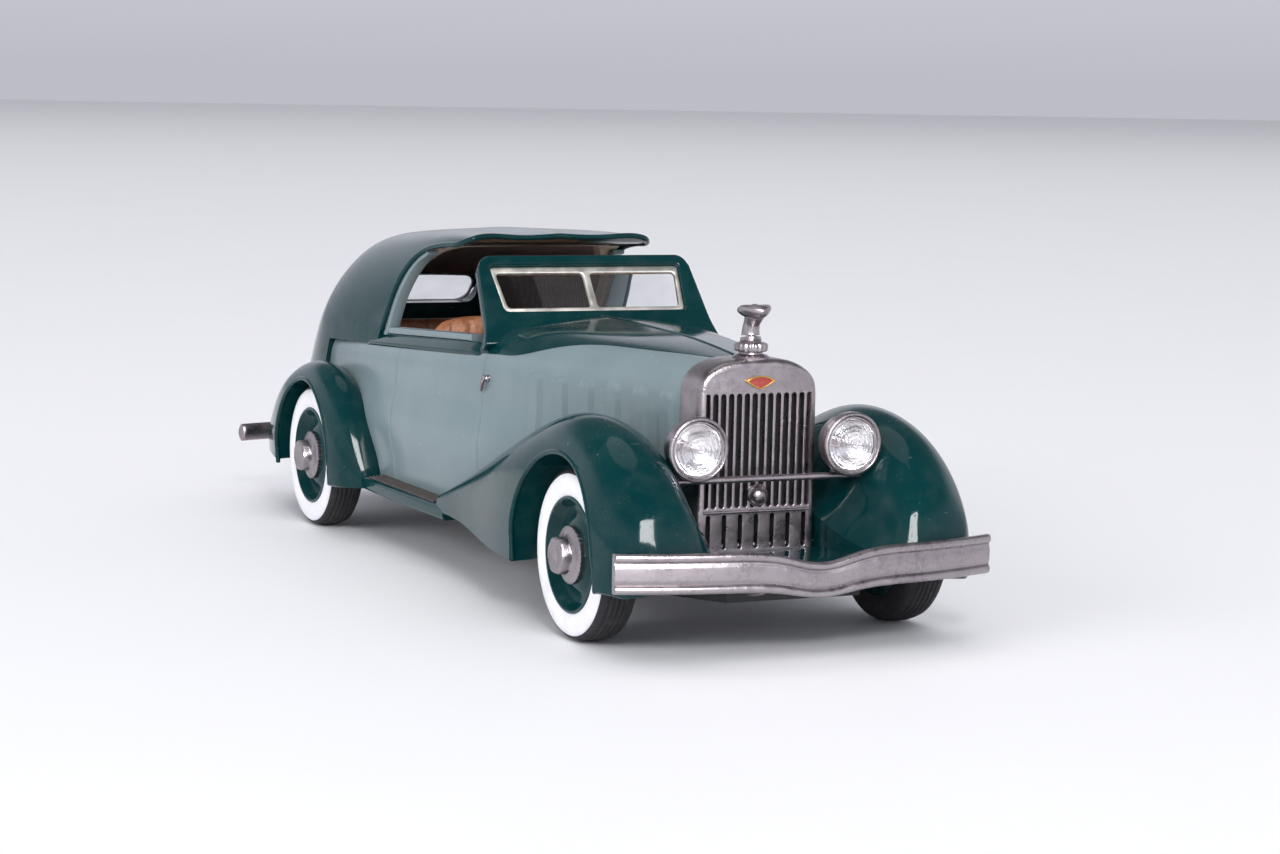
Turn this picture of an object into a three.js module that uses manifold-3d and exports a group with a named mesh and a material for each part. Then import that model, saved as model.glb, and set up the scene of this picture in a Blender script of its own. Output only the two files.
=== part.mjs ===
// Diecast collector car: a display model, 1:43, of a 1930s two-door town coupe with an open driver's
// compartment, pontoon front fenders and a fastback tail. Millimetres, +Z up, nose towards -Y.
// Stations run rearwards along +Y from the front axle; the car group is then centred on the origin.
import * as THREE from "three";
import { mergeVertices } from "three/addons/utils/BufferGeometryUtils.js";
import Module from "manifold-3d";

const wasm = await Module();
wasm.setup();

// ---------------------------------------------------------------- driving dimensions
const TYRE_RADIUS = 9.0;
const TYRE_SIDES = 24; // one flat of the tyre stands on the ground
const AXLE_HEIGHT = TYRE_RADIUS * Math.cos(Math.PI / TYRE_SIDES);
const WHEELBASE = 81.6;
const NOSE_STATION = -17.9; // front face of the front bumper
const TAIL_STATION = 111.1; // rear face of the rear bumper
const FRONT_AXLE_Y = -(NOSE_STATION + TAIL_STATION) / 2;
const FIT_GAP = 0.3; // clearance between pieces that are glued face to face
const WALL = 1.5; // casting wall thickness

// wheels, measured outwards from the car's centre plane
const TYRE_OUTER_X = 20.2;
const TYRE_WIDTH = 4.6;
const TYRE_INNER_X = TYRE_OUTER_X - TYRE_WIDTH;
const RIM_RADIUS = 5.9;
const WHITEWALL_RADIUS = 8.3;
const AXLE_RADIUS = 0.75;
const AXLE_HALF = 19.0;
const BORE_RADIUS = 1.0;
const BEARING_RADIUS = 0.85;
const BEARING_X = 10.2;
const WELL_RADIUS = 9.9;
const WELL_INNER_X = 14.9;
const WELL_OUTER_X = 20.5;

// body heights
const FLOOR_Z = 7.0; // lower edge of the body castings
const PLATE_TOP = 6.2; // top face of the chassis plate
const PLATE_BOTTOM = 5.2;
const HOOD_STATION = 2.1; // front edge of the hood, behind the radiator
const CABIN_FRONT = 39.6; // bulkhead behind the cowl
const SEAM_STATION = 87.4; // door panel casting ends, tail casting begins
const CABIN_HALF_WIDTH = 12.4;
const ROOF_CEILING = 45; // above everything, for cuts that run out of the top
const ACROSS = 30; // past the widest piece, for cuts that run out of both sides
const LOUVRE_COUNT = 6;
const FIRST_LOUVRE = 3.9;
const LOUVRE_PITCH = 4.4;
const LOUVRE_HALF_WIDTH = 1.3;
const LOUVRE_BOTTOM = 19.8;
const LOUVRE_TOP = 24.0; // centre of the round upper end
const LOUVRE_RISE = 0.28;
const AXLE_SLOT = 4.4; // length of the slot that an axle and its bearings drop into
const BEARING_TOP = AXLE_HEIGHT + 1.8;
const BEARING_LENGTH = 3.6;
const SCREW_HOLE = 1.15;
const SCREW_TIP = PLATE_TOP + 1.4;
const SCREWS = [24, 97]; // stations of the two base screws

// ---------------------------------------------------------------- materials
const paint = (color, roughness = 0.25, metalness = 0.0) =>
  new THREE.MeshStandardMaterial({ color, roughness, metalness });
const SAGE = paint(0x8fa5a4);
const GREEN = paint(0x0b3a3a, 0.15);
const NICKEL = paint(0xa9a19f, 0.4, 1.0);
const STEEL = paint(0xb4b4b6, 0.3, 1.0);
const RUBBER = paint(0x17171a, 0.75);
const WHITE = paint(0xf2f1f4, 0.5);
const LEATHER = paint(0xb87444, 0.55);
const BLACK = paint(0x121416, 0.5);
const CLEAR = paint(0xdfe6ea, 0.05);
const ENAMEL = paint(0xa8202a, 0.2);
const AMBER = paint(0x8c1512, 0.15);

// ---------------------------------------------------------------- helpers
// Natural cubic spline through [at, value] knots: returns value(at), clamped outside the knots.
function spline(knots) {
  const n = knots.length;
  const at = knots.map((k) => k[0]);
  const value = knots.map((k) => k[1]);
  const bend = new Array(n).fill(0);
  const work = new Array(n).fill(0);
  for (let i = 1; i < n - 1; i++) {
    const share = (at[i] - at[i - 1]) / (at[i + 1] - at[i - 1]);
    const p = share * bend[i - 1] + 2;
    const slopeAfter = (value[i + 1] - value[i]) / (at[i + 1] - at[i]);
    const slopeBefore = (value[i] - value[i - 1]) / (at[i] - at[i - 1]);
    bend[i] = (share - 1) / p;
    work[i] = ((6 * (slopeAfter - slopeBefore)) / (at[i + 1] - at[i - 1]) - share * work[i - 1]) / p;
  }
  for (let i = n - 2; i >= 0; i--) bend[i] = bend[i] * bend[i + 1] + work[i];
  return (x) => {
    if (x <= at[0]) return value[0];
    if (x >= at[n - 1]) return value[n - 1];
    let i = 0;
    while (at[i + 1] < x) i++;
    const h = at[i + 1] - at[i];
    const a = (at[i + 1] - x) / h;
    const b = 1 - a;
    const cubic = ((a ** 3 - a) * bend[i] + (b ** 3 - b) * bend[i + 1]) * h * h;
    return a * value[i] + b * value[i + 1] + cubic / 6;
  };
}

// Evenly spaced points of a smooth curve through [x, z] control points.
function smoothLine(points, count) {
  const along = [0];
  points.slice(1).forEach(([x, z], i) => {
    along.push(along[i] + Math.hypot(x - points[i][0], z - points[i][1]));
  });
  const total = along[along.length - 1];
  const x = spline(points.map((p, i) => [along[i], p[0]]));
  const z = spline(points.map((p, i) => [along[i], p[1]]));
  return Array.from({ length: count }, (_, i) => {
    const d = (total * i) / (count - 1);
    return [x(d), z(d)];
  });
}

const span = (from, to, steps) =>
  Array.from({ length: steps + 1 }, (_, i) => from + ((to - from) * i) / steps);

// A closed geometry as a manifold-3d solid, with its faces turned outwards.
function solid(geometry) {
  const bare = geometry.clone();
  bare.deleteAttribute("normal");
  bare.deleteAttribute("uv");
  const merged = mergeVertices(bare, 1e-4);
  const vertProperties = merged.attributes.position.array;
  const triVerts = new Uint32Array(merged.index.array);
  const made = new wasm.Manifold(new wasm.Mesh({ numProp: 3, vertProperties, triVerts }));
  if (made.volume() > 0) return made;
  for (let i = 0; i < triVerts.length; i += 3) {
    [triVerts[i + 1], triVerts[i + 2]] = [triVerts[i + 2], triVerts[i + 1]];
  }
  return new wasm.Manifold(new wasm.Mesh({ numProp: 3, vertProperties, triVerts }));
}

// A manifold-3d solid as a geometry.
function geometryOf(manifold) {
  const { vertProperties, triVerts, numProp } = manifold.getMesh();
  const position = new Float32Array((vertProperties.length / numProp) * 3);
  for (let i = 0; i < position.length / 3; i++) {
    position.set(vertProperties.subarray(i * numProp, i * numProp + 3), i * 3);
  }
  const geometry = new THREE.BufferGeometry();
  geometry.setAttribute("position", new THREE.BufferAttribute(position, 3));
  geometry.setIndex(new THREE.BufferAttribute(new Uint32Array(triVerts), 1));
  return geometry;
}

// Skin over closed rings of [x, y, z] points that all have the same count, capped at both ends.
function loft(sections) {
  const flatten = (ring) => ring.map(([x, y, z]) => new THREE.Vector2(x, z));
  const clockwise = THREE.ShapeUtils.isClockWise(flatten(sections[0]));
  const rings = clockwise ? sections : sections.map((ring) => [...ring].reverse());
  const count = rings[0].length;
  const last = rings.length - 1;
  const index = [];
  for (let r = 0; r < last; r++) {
    for (let i = 0; i < count; i++) {
      const a = r * count + i;
      const b = r * count + ((i + 1) % count);
      index.push(a, b, b + count, a, b + count, a + count);
    }
  }
  for (const [a, b, c] of THREE.ShapeUtils.triangulateShape(flatten(rings[0]), [])) {
    index.push(a, b, c);
  }
  for (const [a, b, c] of THREE.ShapeUtils.triangulateShape(flatten(rings[last]), [])) {
    index.push(last * count + a, last * count + c, last * count + b);
  }
  const geometry = new THREE.BufferGeometry();
  geometry.setAttribute("position", new THREE.Float32BufferAttribute(rings.flat(2), 3));
  geometry.setIndex(index);
  return geometry;
}

const TURN_TO_X = new THREE.Matrix4().set(0, 0, 1, 0, 1, 0, 0, 0, 0, 1, 0, 0, 0, 0, 0, 1);
const TURN_TO_Y = new THREE.Matrix4().set(1, 0, 0, 0, 0, 0, 1, 0, 0, 1, 0, 0, 0, 0, 0, 1);

// Outline of [a, b] points pushed along one axis: "x" takes [y, z], "y" takes [x, z], "z" takes [x, y].
function prism(outline, axis, from, to) {
  const shape = new THREE.Shape(outline.map(([a, b]) => new THREE.Vector2(a, b)));
  const geometry = new THREE.ExtrudeGeometry(shape, { depth: to - from, bevelEnabled: false });
  geometry.translate(0, 0, from);
  if (axis === "x") geometry.applyMatrix4(TURN_TO_X);
  if (axis === "y") geometry.applyMatrix4(TURN_TO_Y);
  return geometry;
}

function box([x0, x1], [y0, y1], [z0, z1]) {
  const geometry = new THREE.BoxGeometry(x1 - x0, y1 - y0, z1 - z0);
  return geometry.translate((x0 + x1) / 2, (y0 + y1) / 2, (z0 + z1) / 2);
}

// Turned piece: [radius, height] profile about an axis, closed by lathe points on the axis or on itself.
function turned(profile, sides, axis = "y") {
  const geometry = new THREE.LatheGeometry(profile.map(([r, h]) => new THREE.Vector2(r, h)), sides);
  if (axis === "x") geometry.rotateZ(-Math.PI / 2);
  if (axis === "z") geometry.rotateX(Math.PI / 2);
  return geometry;
}

const cylinder = (radius, from, to, sides, axis) =>
  turned([[0, from], [radius, from], [radius, to], [0, to]], sides, axis);

const circle = (centre, radius, sides, start = 0) =>
  Array.from({ length: sides }, (_, i) => {
    const angle = start + (2 * Math.PI * i) / sides;
    return [centre[0] + radius * Math.cos(angle), centre[1] + radius * Math.sin(angle)];
  });

const car = new THREE.Group();
car.position.y = FRONT_AXLE_Y;

function add(name, shape, material) {
  const manifold = shape.isBufferGeometry ? solid(shape) : shape;
  const mesh = new THREE.Mesh(geometryOf(manifold), material);
  mesh.name = name;
  car.add(mesh);
  return mesh;
}

// The car faces -Y, so +X is its left side; the right-hand piece is the mirror image.
function addPair(name, shape, material) {
  add(`${name}_left`, shape, material);
  add(`${name}_right`, shape, material).scale.x = -1;
}

// ---------------------------------------------------------------- body lines
// Hood and doors: height of the top, then half-widths and height of the shoulder, waist and sill.
const BODY_STATIONS = [2, 12, 24, 36, 50, 70, 88];
const alongBody = (values) => spline(BODY_STATIONS.map((s, i) => [s, values[i]]));
const hoodHeight = alongBody([28.6, 29.5, 29.9, 30.0, 29.0, 27.8, 26.0]);
const shoulderX = alongBody([6.6, 8.9, 11.9, 14.1, 15.1, 15.3, 14.7]);
const shoulderZ = alongBody([25.8, 26.1, 26.2, 26.3, 25.4, 24.3, 23.0]);
const waistX = alongBody([7.0, 9.6, 12.9, 15.4, 16.6, 16.9, 16.1]);
const lowerX = alongBody([6.9, 9.4, 12.4, 14.7, 15.7, 15.9, 15.0]);
const WAIST_Z = 15.5;

// Half section of the hood, cowl and doors from the top centre down to the floor. A negative inset
// gives the swollen section that neighbours are cut by, carried down past everything.
function bodySection(s, count, inset = 0) {
  const top = hoodHeight(s) - inset;
  const sx = shoulderX(s) - inset;
  const sz = shoulderZ(s) - inset * 0.5;
  const wx = waistX(s) - inset;
  const lx = lowerX(s) - inset;
  return smoothLine(
    [
      [0, top],
      [0.5 * sx, top - 0.14 * (top - sz)],
      [0.86 * sx, top - 0.5 * (top - sz)],
      [sx, sz],
      [0.45 * sx + 0.55 * wx, 0.5 * (sz + WAIST_Z)],
      [wx, WAIST_Z],
      [0.3 * wx + 0.7 * lx, 10.4],
      [lx, inset < 0 ? 0 : FLOOR_Z],
    ],
    count,
  );
}

// Roof and tail: station, roof height, then half-widths and heights of shoulder, quarter, belt,
// and the half-widths of waist and sill with the sill's height.
const TAIL_SECTIONS = [
  [48, 38.4, 11.5, 37.4, 13.4, 34.0, 15.0, 25.6, 16.6, 15.7, 7.0],
  [56, 38.8, 11.8, 37.3, 14.0, 33.2, 15.2, 25.2, 16.7, 15.8, 7.0],
  [66, 39.0, 11.8, 37.2, 14.4, 32.8, 15.4, 24.6, 16.9, 15.9, 7.0],
  [76, 38.4, 11.5, 36.5, 14.4, 31.7, 15.7, 23.9, 16.9, 15.7, 7.0],
  [84, 37.2, 11.3, 35.1, 14.3, 30.5, 15.7, 23.2, 16.7, 15.2, 7.0],
  [90, 35.3, 10.9, 33.2, 14.0, 29.0, 15.5, 22.4, 16.2, 14.6, 7.0],
  [94.5, 32.9, 10.3, 31.0, 13.4, 27.4, 15.0, 21.5, 15.6, 13.8, 7.0],
  [98, 29.8, 9.6, 28.3, 12.6, 25.4, 14.2, 20.5, 14.8, 12.9, 7.0],
  [101.5, 26.0, 8.7, 24.9, 11.6, 22.7, 13.1, 19.0, 13.7, 11.8, 7.2],
  [105, 21.6, 7.5, 20.9, 10.1, 19.4, 11.5, 17.0, 12.0, 10.2, 7.6],
  [107.4, 17.8, 5.8, 17.3, 7.9, 16.5, 9.0, 15.1, 9.4, 7.8, 8.4],
  [108.4, 15.1, 4.0, 14.8, 5.4, 14.4, 6.2, 13.6, 6.5, 5.0, 9.6],
];
const tailCurve = TAIL_SECTIONS[0].slice(1).map((_, column) =>
  spline(TAIL_SECTIONS.map((row) => [row[0], row[column + 1]])),
);

// Half section of roof, quarter and tail from the top centre down to the sill.
function tailSection(s, count, inset = 0) {
  const [top, x2, z2, x3, z3, x4, z4, x5, x7, z7] = tailCurve.map((curve) => curve(s));
  const inward = Math.min(inset, x5 * 0.5);
  const waist = Math.min(WAIST_Z, z4 - 2.5);
  return smoothLine(
    [
      [0, top - inward],
      [0.52 * (x2 - inward), top - inward - 0.16 * (top - z2)],
      [x2 - inward, z2 - inward * 0.8],
      [x3 - inward, z3 - inward * 0.4],
      [x4 - inward, z4],
      [x5 - inward, waist],
      [0.3 * x5 + 0.7 * x7 - inward, 0.4 * waist + 0.6 * z7],
      [x7 - inward, inset < 0 ? 0 : z7],
    ],
    count,
  );
}

// A half section as a full closed ring at one station.
function ring(half, s) {
  const right = half.map(([x, z]) => [x, s, z]);
  const left = half.slice(1).reverse().map(([x, z]) => [-x, s, z]);
  return [...right, ...left];
}

const bodyEnvelope = (from, to, steps, inset = 0, count = 11) =>
  solid(loft(span(from, to, steps).map((s) => ring(bodySection(s, count, inset), s))));

const TAIL_STATIONS = [48, 54, 60, 66, 72, 78, 84, 88, 91.5, 94.5, 97, 99.5, 102, 104.5, 106.4, 107.6, 108.4];
const tailEnvelope = (stations, inset = 0, count = 13) =>
  solid(loft(stations.map((s) => ring(tailSection(s, count, inset), s))));

// Half-width of the hood and doors at one station and height.
function doorX(s, z) {
  const half = bodySection(s, 40);
  return half.find(([, height], i) => i > half.length / 3 && height < z)[0];
}

// Height of the door panels' top edge, and of the window sill above the painted belt.
const beltZ = (s) => 26.1 - 0.055 * (s - 34);
const sillZ = (s) => beltZ(s) + 1.25;

// Wheel wells on both sides at one axle station.
function wheelWells(station) {
  const well = solid(cylinder(WELL_RADIUS, WELL_INNER_X, WELL_OUTER_X, 24, "x"));
  return well.add(well.mirror([1, 0, 0])).translate([0, station, AXLE_HEIGHT]);
}

// Room for an axle and its bearing uprights to be lifted in from below, right across the car.
function axleSlot(station) {
  const length = [station - AXLE_SLOT / 2, station + AXLE_SLOT / 2];
  return solid(box([-ACROSS, ACROSS], length, [0, BEARING_TOP + FIT_GAP]));
}

const screwHole = (station) =>
  solid(cylinder(SCREW_HOLE, 0, SCREW_TIP + 1.0, 12, "z")).translate([0, station, 0]);

// ---------------------------------------------------------------- body castings
function makeBodyShell() {
  const outer = bodyEnvelope(HOOD_STATION, SEAM_STATION, 12);
  const cabin = solid(
    box([-CABIN_HALF_WIDTH, CABIN_HALF_WIDTH], [CABIN_FRONT, SEAM_STATION + 1], [0, ROOF_CEILING]),
  );
  const beltLine = [CABIN_FRONT, SEAM_STATION + 1].map((s) => [s, beltZ(s)]);
  const window = [[CABIN_FRONT, ROOF_CEILING], ...beltLine, [SEAM_STATION + 1, ROOF_CEILING]];
  const aboveBelt = solid(prism(window, "x", -ACROSS, ACROSS));
  const louvres = span(0, LOUVRE_COUNT - 1, LOUVRE_COUNT - 1).map((i) =>
    makeLouvre(FIRST_LOUVRE + LOUVRE_PITCH * i),
  );
  return louvres
    .reduce((body, louvre) => body.add(louvre).add(louvre.mirror([1, 0, 0])), outer)
    .subtract(screwHole(SCREWS[0]))
    .subtract(cabin)
    .subtract(aboveBelt)
    .subtract(wheelWells(WHEELBASE))
    .subtract(axleSlot(WHEELBASE));
}

// Raised louvre on the hood side, round at its upper end.
function makeLouvre(s) {
  const foot = [[s - LOUVRE_HALF_WIDTH, LOUVRE_BOTTOM], [s + LOUVRE_HALF_WIDTH, LOUVRE_BOTTOM]];
  const head = circle([s, LOUVRE_TOP], LOUVRE_HALF_WIDTH, 12).slice(0, 7);
  const stem = solid(prism([...foot, ...head], "x", 3, 20));
  const proud = bodyEnvelope(s - 2, s + 2, 2, -LOUVRE_RISE);
  return stem.intersect(proud.subtract(bodyEnvelope(s - 2.5, s + 2.5, 2, FIT_GAP)));
}

// Front edge of the roof hoop as [station, height], from the sill up to the roof's leading edge.
const HOOP_EDGE = [
  [71, 10], [69.2, 26], [66.6, 30.4], [63.8, 34.2], [60.6, 36.3],
  [56.5, 37.0], [51.5, 37.2], [49.8, 37.6], [49.2, 38.6], [49.0, ROOF_CEILING],
];
const REAR_GLASS = { half: 8.2, z0: 26.9, z1: 30.9, radius: 1.7 };
const HOLLOW_STATIONS = [44, 52, 60, 66, 72, 78, 84, 88, 91.5, 94, 96];
const CABIN_REAR = 93.5;

function makeRoofShell() {
  const outer = tailEnvelope(TAIL_STATIONS);
  const lowerCabin = box([-CABIN_HALF_WIDTH, CABIN_HALF_WIDTH], [44, CABIN_REAR], [0, 24]);
  const inner = tailEnvelope(HOLLOW_STATIONS, WALL).add(solid(lowerCabin));
  const ironChannel = solid(box([IRON_X[0] - 0.5, IRON_X[1] + 0.5], [97.5, 112], [0, 8.1]));
  const ahead = [[40, 10], ...HOOP_EDGE, [40, ROOF_CEILING]];
  const doorTop = [40, SEAM_STATION].map((s) => [s, beltZ(s) + FIT_GAP]);
  const seam = [[SEAM_STATION + FIT_GAP, beltZ(SEAM_STATION) + FIT_GAP], [SEAM_STATION + FIT_GAP, -5]];
  const rail = makeBeltRail();
  return outer
    .subtract(inner)
    .subtract(screwHole(SCREWS[1]))
    .subtract(ironChannel)
    .subtract(ironChannel.mirror([1, 0, 0]))
    .subtract(solid(prism(ahead, "x", -ACROSS, ACROSS)))
    .subtract(solid(prism([[40, -5], ...doorTop, ...seam], "x", -ACROSS, ACROSS)))
    .subtract(solid(prism(roundedRectangle(REAR_GLASS, 0), "y", 80, 110)))
    .add(rail)
    .add(rail.mirror([1, 0, 0]))
    .subtract(wheelWells(WHEELBASE));
}

// Painted belt rail along the top of the door, from the windscreen pillar to the rear quarter.
function makeBeltRail() {
  const [front, rear] = [CABIN_FRONT + FIT_GAP, 74];
  const lower = [front, rear].map((s) => [s, beltZ(s) + FIT_GAP]);
  const upper = [rear, front].map((s) => [s, sillZ(s)]);
  const strip = solid(prism([...lower, ...upper], "x", CABIN_HALF_WIDTH + 0.1, ACROSS));
  return strip.intersect(bodyEnvelope(CABIN_FRONT - 2, 76, 8));
}

// Curved pane that follows the tail inside its opening.
function makeRearGlass() {
  const pane = solid(prism(roundedRectangle(REAR_GLASS, FIT_GAP), "y", 88, 110));
  const stations = TAIL_STATIONS.filter((s) => s > 80 && s < 107);
  return pane.intersect(tailEnvelope(stations, 0.4).subtract(tailEnvelope([80, ...stations], 1.0)));
}

function roundedRectangle({ half, z0, z1, radius }, inset) {
  const r = radius - inset;
  const corner = (x, z, start) =>
    span(0, Math.PI / 2, 3).map((a) => [x + r * Math.cos(start + a), z + r * Math.sin(start + a)]);
  const quarter = Math.PI / 2;
  return [
    ...corner(half - radius, z1 - radius, 0),
    ...corner(radius - half, z1 - radius, quarter),
    ...corner(radius - half, z0 + radius, 2 * quarter),
    ...corner(half - radius, z0 + radius, 3 * quarter),
  ];
}

// ---------------------------------------------------------------- fenders
// Each line of a fender is given as [station, value] knots: height and half-width of the crest, then
// of the outer lip and of the foot of the inner flank.
const frontFender = {
  stations: [-14.8, -14.0, -12, -9, -5, -1, 4, 9, 14, 20, 27, 34, 42.6],
  crestZ: spline([
    [-14.8, 10.6], [-14, 13.2], [-12, 16.4], [-8, 19.8], [-3, 22.2], [2, 23], [7, 22.6],
    [13, 20.8], [20, 18.1], [28, 14.8], [36, 11.6], [42.6, 9.2],
  ]),
  crestX: spline([[-14.8, 14.4], [-8, 15.5], [2, 16], [20, 16.4], [42.6, 17.3]]),
  outerX: spline([
    [-14.8, 16.4], [-14, 18.3], [-12, 20.3], [-8, 21.4], [-3, 21.5], [2, 21.5],
    [13, 21.2], [20, 20.5], [28, 19.4], [36, 18.5], [42.6, 18.0],
  ]),
  outerZ: spline([
    [-14.8, 8.6], [-14, 7.2], [-12, 6.5], [-8, 6.4], [2, 6.3],
    [13, 6.2], [20, 6.2], [28, 6.7], [36, 7.2], [42.6, 7.0],
  ]),
  innerX: spline([
    [-14.8, 12], [-14, 10.4], [-12, 9.2], [-8, 8.0], [2, 7.4],
    [12, 9.4], [24, 12.6], [36, 15], [42.6, 16],
  ]),
  innerZ: spline([
    [-14.8, 9.2], [-12, 9.4], [-8, 10.4], [-2, 12.4], [6, 13.6], [20, 13.0], [30, 10.6], [42.6, 8.4],
  ]),
};
const rearFender = {
  stations: [62, 63.5, 66, 70, 75, 80, 85, 90, 95, 99.5, 103, 105.5],
  crestZ: spline([
    [62, 8.8], [64, 11.4], [67, 15.0], [72, 18.6], [78, 20.4],
    [84, 20.7], [90, 19.1], [96, 16.0], [101, 12.3], [105.5, 8.4],
  ]),
  crestX: spline([[62, 17.2], [70, 18.2], [82, 18.6], [92, 18.0], [100, 16.6], [105.5, 15]]),
  outerX: spline([
    [62, 18.2], [66, 19.7], [72, 21.2], [82, 21.7], [92, 21.3], [98, 20.1], [103, 18.2], [105.5, 16.4],
  ]),
  outerZ: spline([[62, 6.6], [70, 6.4], [84, 6.6], [95, 7.2], [105.5, 7.2]]),
  innerX: spline([[62, 14.5], [82, 14.5], [95, 12], [105.5, 9.5]]),
  innerZ: spline([[62, 8.0], [68, 14.0], [80, 18.6], [90, 17.6], [98, 13.6], [105.5, 8]]),
};

// How much higher a fender's underside is at its inner edge, to clear the chassis plate.
const UNDERSIDE_RISE = 0.6;

// Closed section of a pontoon fender: outer lip, over the crest, inner flank, underside.
function fenderSection(fender, s) {
  const at = (key) => fender[key](s);
  const bottom = at("outerZ");
  const lip = at("outerX");
  const crest = [at("crestX"), at("crestZ")];
  const foot = [at("innerX"), at("innerZ")];
  const rise = crest[1] - bottom;
  const width = crest[0] - foot[0];
  const fall = crest[1] - foot[1];
  const outline = smoothLine(
    [
      [lip, bottom + 0.3 * rise],
      [crest[0] + 0.88 * (lip - crest[0]), bottom + 0.68 * rise],
      [crest[0] + 0.52 * (lip - crest[0]), bottom + 0.93 * rise],
      crest,
      [crest[0] - 0.32 * width, crest[1] - 0.1 * fall],
      [crest[0] - 0.62 * width, crest[1] - 0.44 * fall],
      [crest[0] - 0.8 * width, crest[1] - 0.78 * fall],
      foot,
    ],
    11,
  );
  return [[lip - 0.3, bottom], ...outline, [foot[0], bottom + UNDERSIDE_RISE]].map(([x, z]) => [x, s, z]);
}

const fenderEnvelope = (fender) => solid(loft(fender.stations.map((s) => fenderSection(fender, s))));

function makeFender(fender, arch) {
  const inside = WELL_OUTER_X - 4;
  const mouth = solid(cylinder(arch.radius, inside, ACROSS, 32, "x")).translate([0, arch.centre, arch.z]);
  const length = [arch.centre - arch.radius, arch.centre + arch.radius];
  const below = solid(box([inside, ACROSS], length, [0, arch.z]));
  return fenderEnvelope(fender)
    .subtract(wheelWells(arch.axle))
    .subtract(mouth)
    .subtract(below)
    .subtract(axleSlot(arch.axle))
    .subtract(bodyEnvelope(HOOD_STATION - 0.6, SEAM_STATION + 0.5, 12, -FIT_GAP))
    .subtract(tailEnvelope(TAIL_STATIONS.slice(4), -FIT_GAP));
}

const FRONT_ARCH = { axle: 0, centre: 2.3, z: 8.3, radius: 10.9 };
const REAR_ARCH = { axle: WHEELBASE, centre: WHEELBASE + 0.4, z: 8.4, radius: 10.2 };

// The front fender is hollowed at its inner side to clear the headlamp bowl.
function makeFrontFender() {
  const pocket = cylinder(LAMP.rim + FIT_GAP, LAMP.front - 0.5, LAMP.front + LAMP.depth + 0.4, 24, "y");
  return makeFender(frontFender, FRONT_ARCH).subtract(solid(pocket).translate([LAMP.x, 0, LAMP.z]));
}

function makeRunningBoard() {
  const board = solid(box([12, 18.1], [42.9, 61.7], [6.4, 8.3]));
  return board.subtract(bodyEnvelope(40, 64, 5, -FIT_GAP));
}

// Painted apron between the front fenders, in front of the radiator.
function makeFrontApron() {
  const outline = [
    [-3.1, 8.1], [-3.1, 9.3], [-7.5, 9.4], [-11.6, 8.9], [-13.2, 8.2], [-13.4, 7.9], [-12.6, 7.9],
  ];
  const noses = fenderEnvelope(frontFender);
  const clearance = [[-FIT_GAP, 0, 0], [0, 0, FIT_GAP], [0, 0, -FIT_GAP], [0, -FIT_GAP, 0]];
  const cutter = clearance.reduce((sum, offset) => sum.add(noses.translate(offset)), noses);
  return solid(prism(outline, "x", -11, 11)).subtract(cutter).subtract(cutter.mirror([1, 0, 0]));
}

// ---------------------------------------------------------------- radiator
const RADIATOR_FRONT = -2.8;
const RADIATOR_BACK = 1.7;
const RADIATOR_HALF_WIDTH = 6.9;
const RADIATOR_TOP = 28.8;
const RADIATOR_BOTTOM = 8.6;
const SLOT_PITCH = 0.9;
const SLOT_WIDTH = 0.48;
const UPPER_SLOTS = { count: 14, pitch: SLOT_PITCH, z0: 13.4, z1: 25.3 };
const LOWER_SLOTS = { count: 7, pitch: 2 * SLOT_PITCH, z0: 10.0, z1: 12.6 };

function radiatorOutline(inset) {
  const half = RADIATOR_HALF_WIDTH - inset;
  const top = RADIATOR_TOP - inset;
  const right = [
    [half, RADIATOR_BOTTOM + inset], [half, 25.2], [half - 0.5, 26.6],
    [half - 1.6, 27.7 - inset * 0.5], [half - 3.4, top - 0.35], [0, top],
  ];
  return [...right, ...right.slice(0, -1).reverse().map(([x, z]) => [-x, z])];
}

// One row of upright slots through the radiator's front face.
function slotRow({ count, pitch, z0, z1 }) {
  const depth = [RADIATOR_FRONT - 1, RADIATOR_FRONT + 2];
  return span(-(count - 1) / 2, (count - 1) / 2, count - 1).map((k) =>
    solid(box([k * pitch - SLOT_WIDTH / 2, k * pitch + SLOT_WIDTH / 2], depth, [z0, z1])),
  );
}

function makeRadiatorShell() {
  const shell = solid(prism(radiatorOutline(0), "y", RADIATOR_FRONT, RADIATOR_BACK));
  const hollow = solid(prism(radiatorOutline(1.0), "y", RADIATOR_FRONT + 1.0, RADIATOR_BACK + 1));
  const axleArch = solid(box([-8, 8], [RADIATOR_FRONT + 1.2, 4], [0, 10.6]));
  const cuts = [...slotRow(UPPER_SLOTS), ...slotRow(LOWER_SLOTS), hollow, axleArch];
  return cuts.reduce((body, cut) => body.subtract(cut), shell);
}

// Dark honeycomb block behind the slots, with a thin apron in front of the axle.
function makeRadiatorCore() {
  const profile = [[-1.5, 10.0], [-1.1, 10.0], [-1.1, 11.2], [1.4, 11.2], [1.4, 25.6], [-1.5, 25.6]];
  return prism(profile, "x", -5.6, 5.6);
}

// Button over the starting-handle hole.
function makeCrankCover() {
  const profile = [[0, 0], [0.95, 0], [0.95, -0.4], [0.6, -0.85], [0, -1.0]];
  return turned(profile, 16).translate(0, RADIATOR_FRONT - FIT_GAP, 14.7);
}

// Badge: a plain shield with two swept-back wings, on the radiator's header.
function makeBadge() {
  const half = [[0, 25.7], [0.5, 26.1], [1.0, 26.5], [1.7, 26.9], [1.5, 27.2], [0.5, 26.95], [0, 27.1]];
  const outline = [...half, ...half.slice(1, -1).reverse().map(([x, z]) => [-x, z])];
  return prism(outline, "y", RADIATOR_FRONT - 2 * FIT_GAP, RADIATOR_FRONT - FIT_GAP);
}

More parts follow.
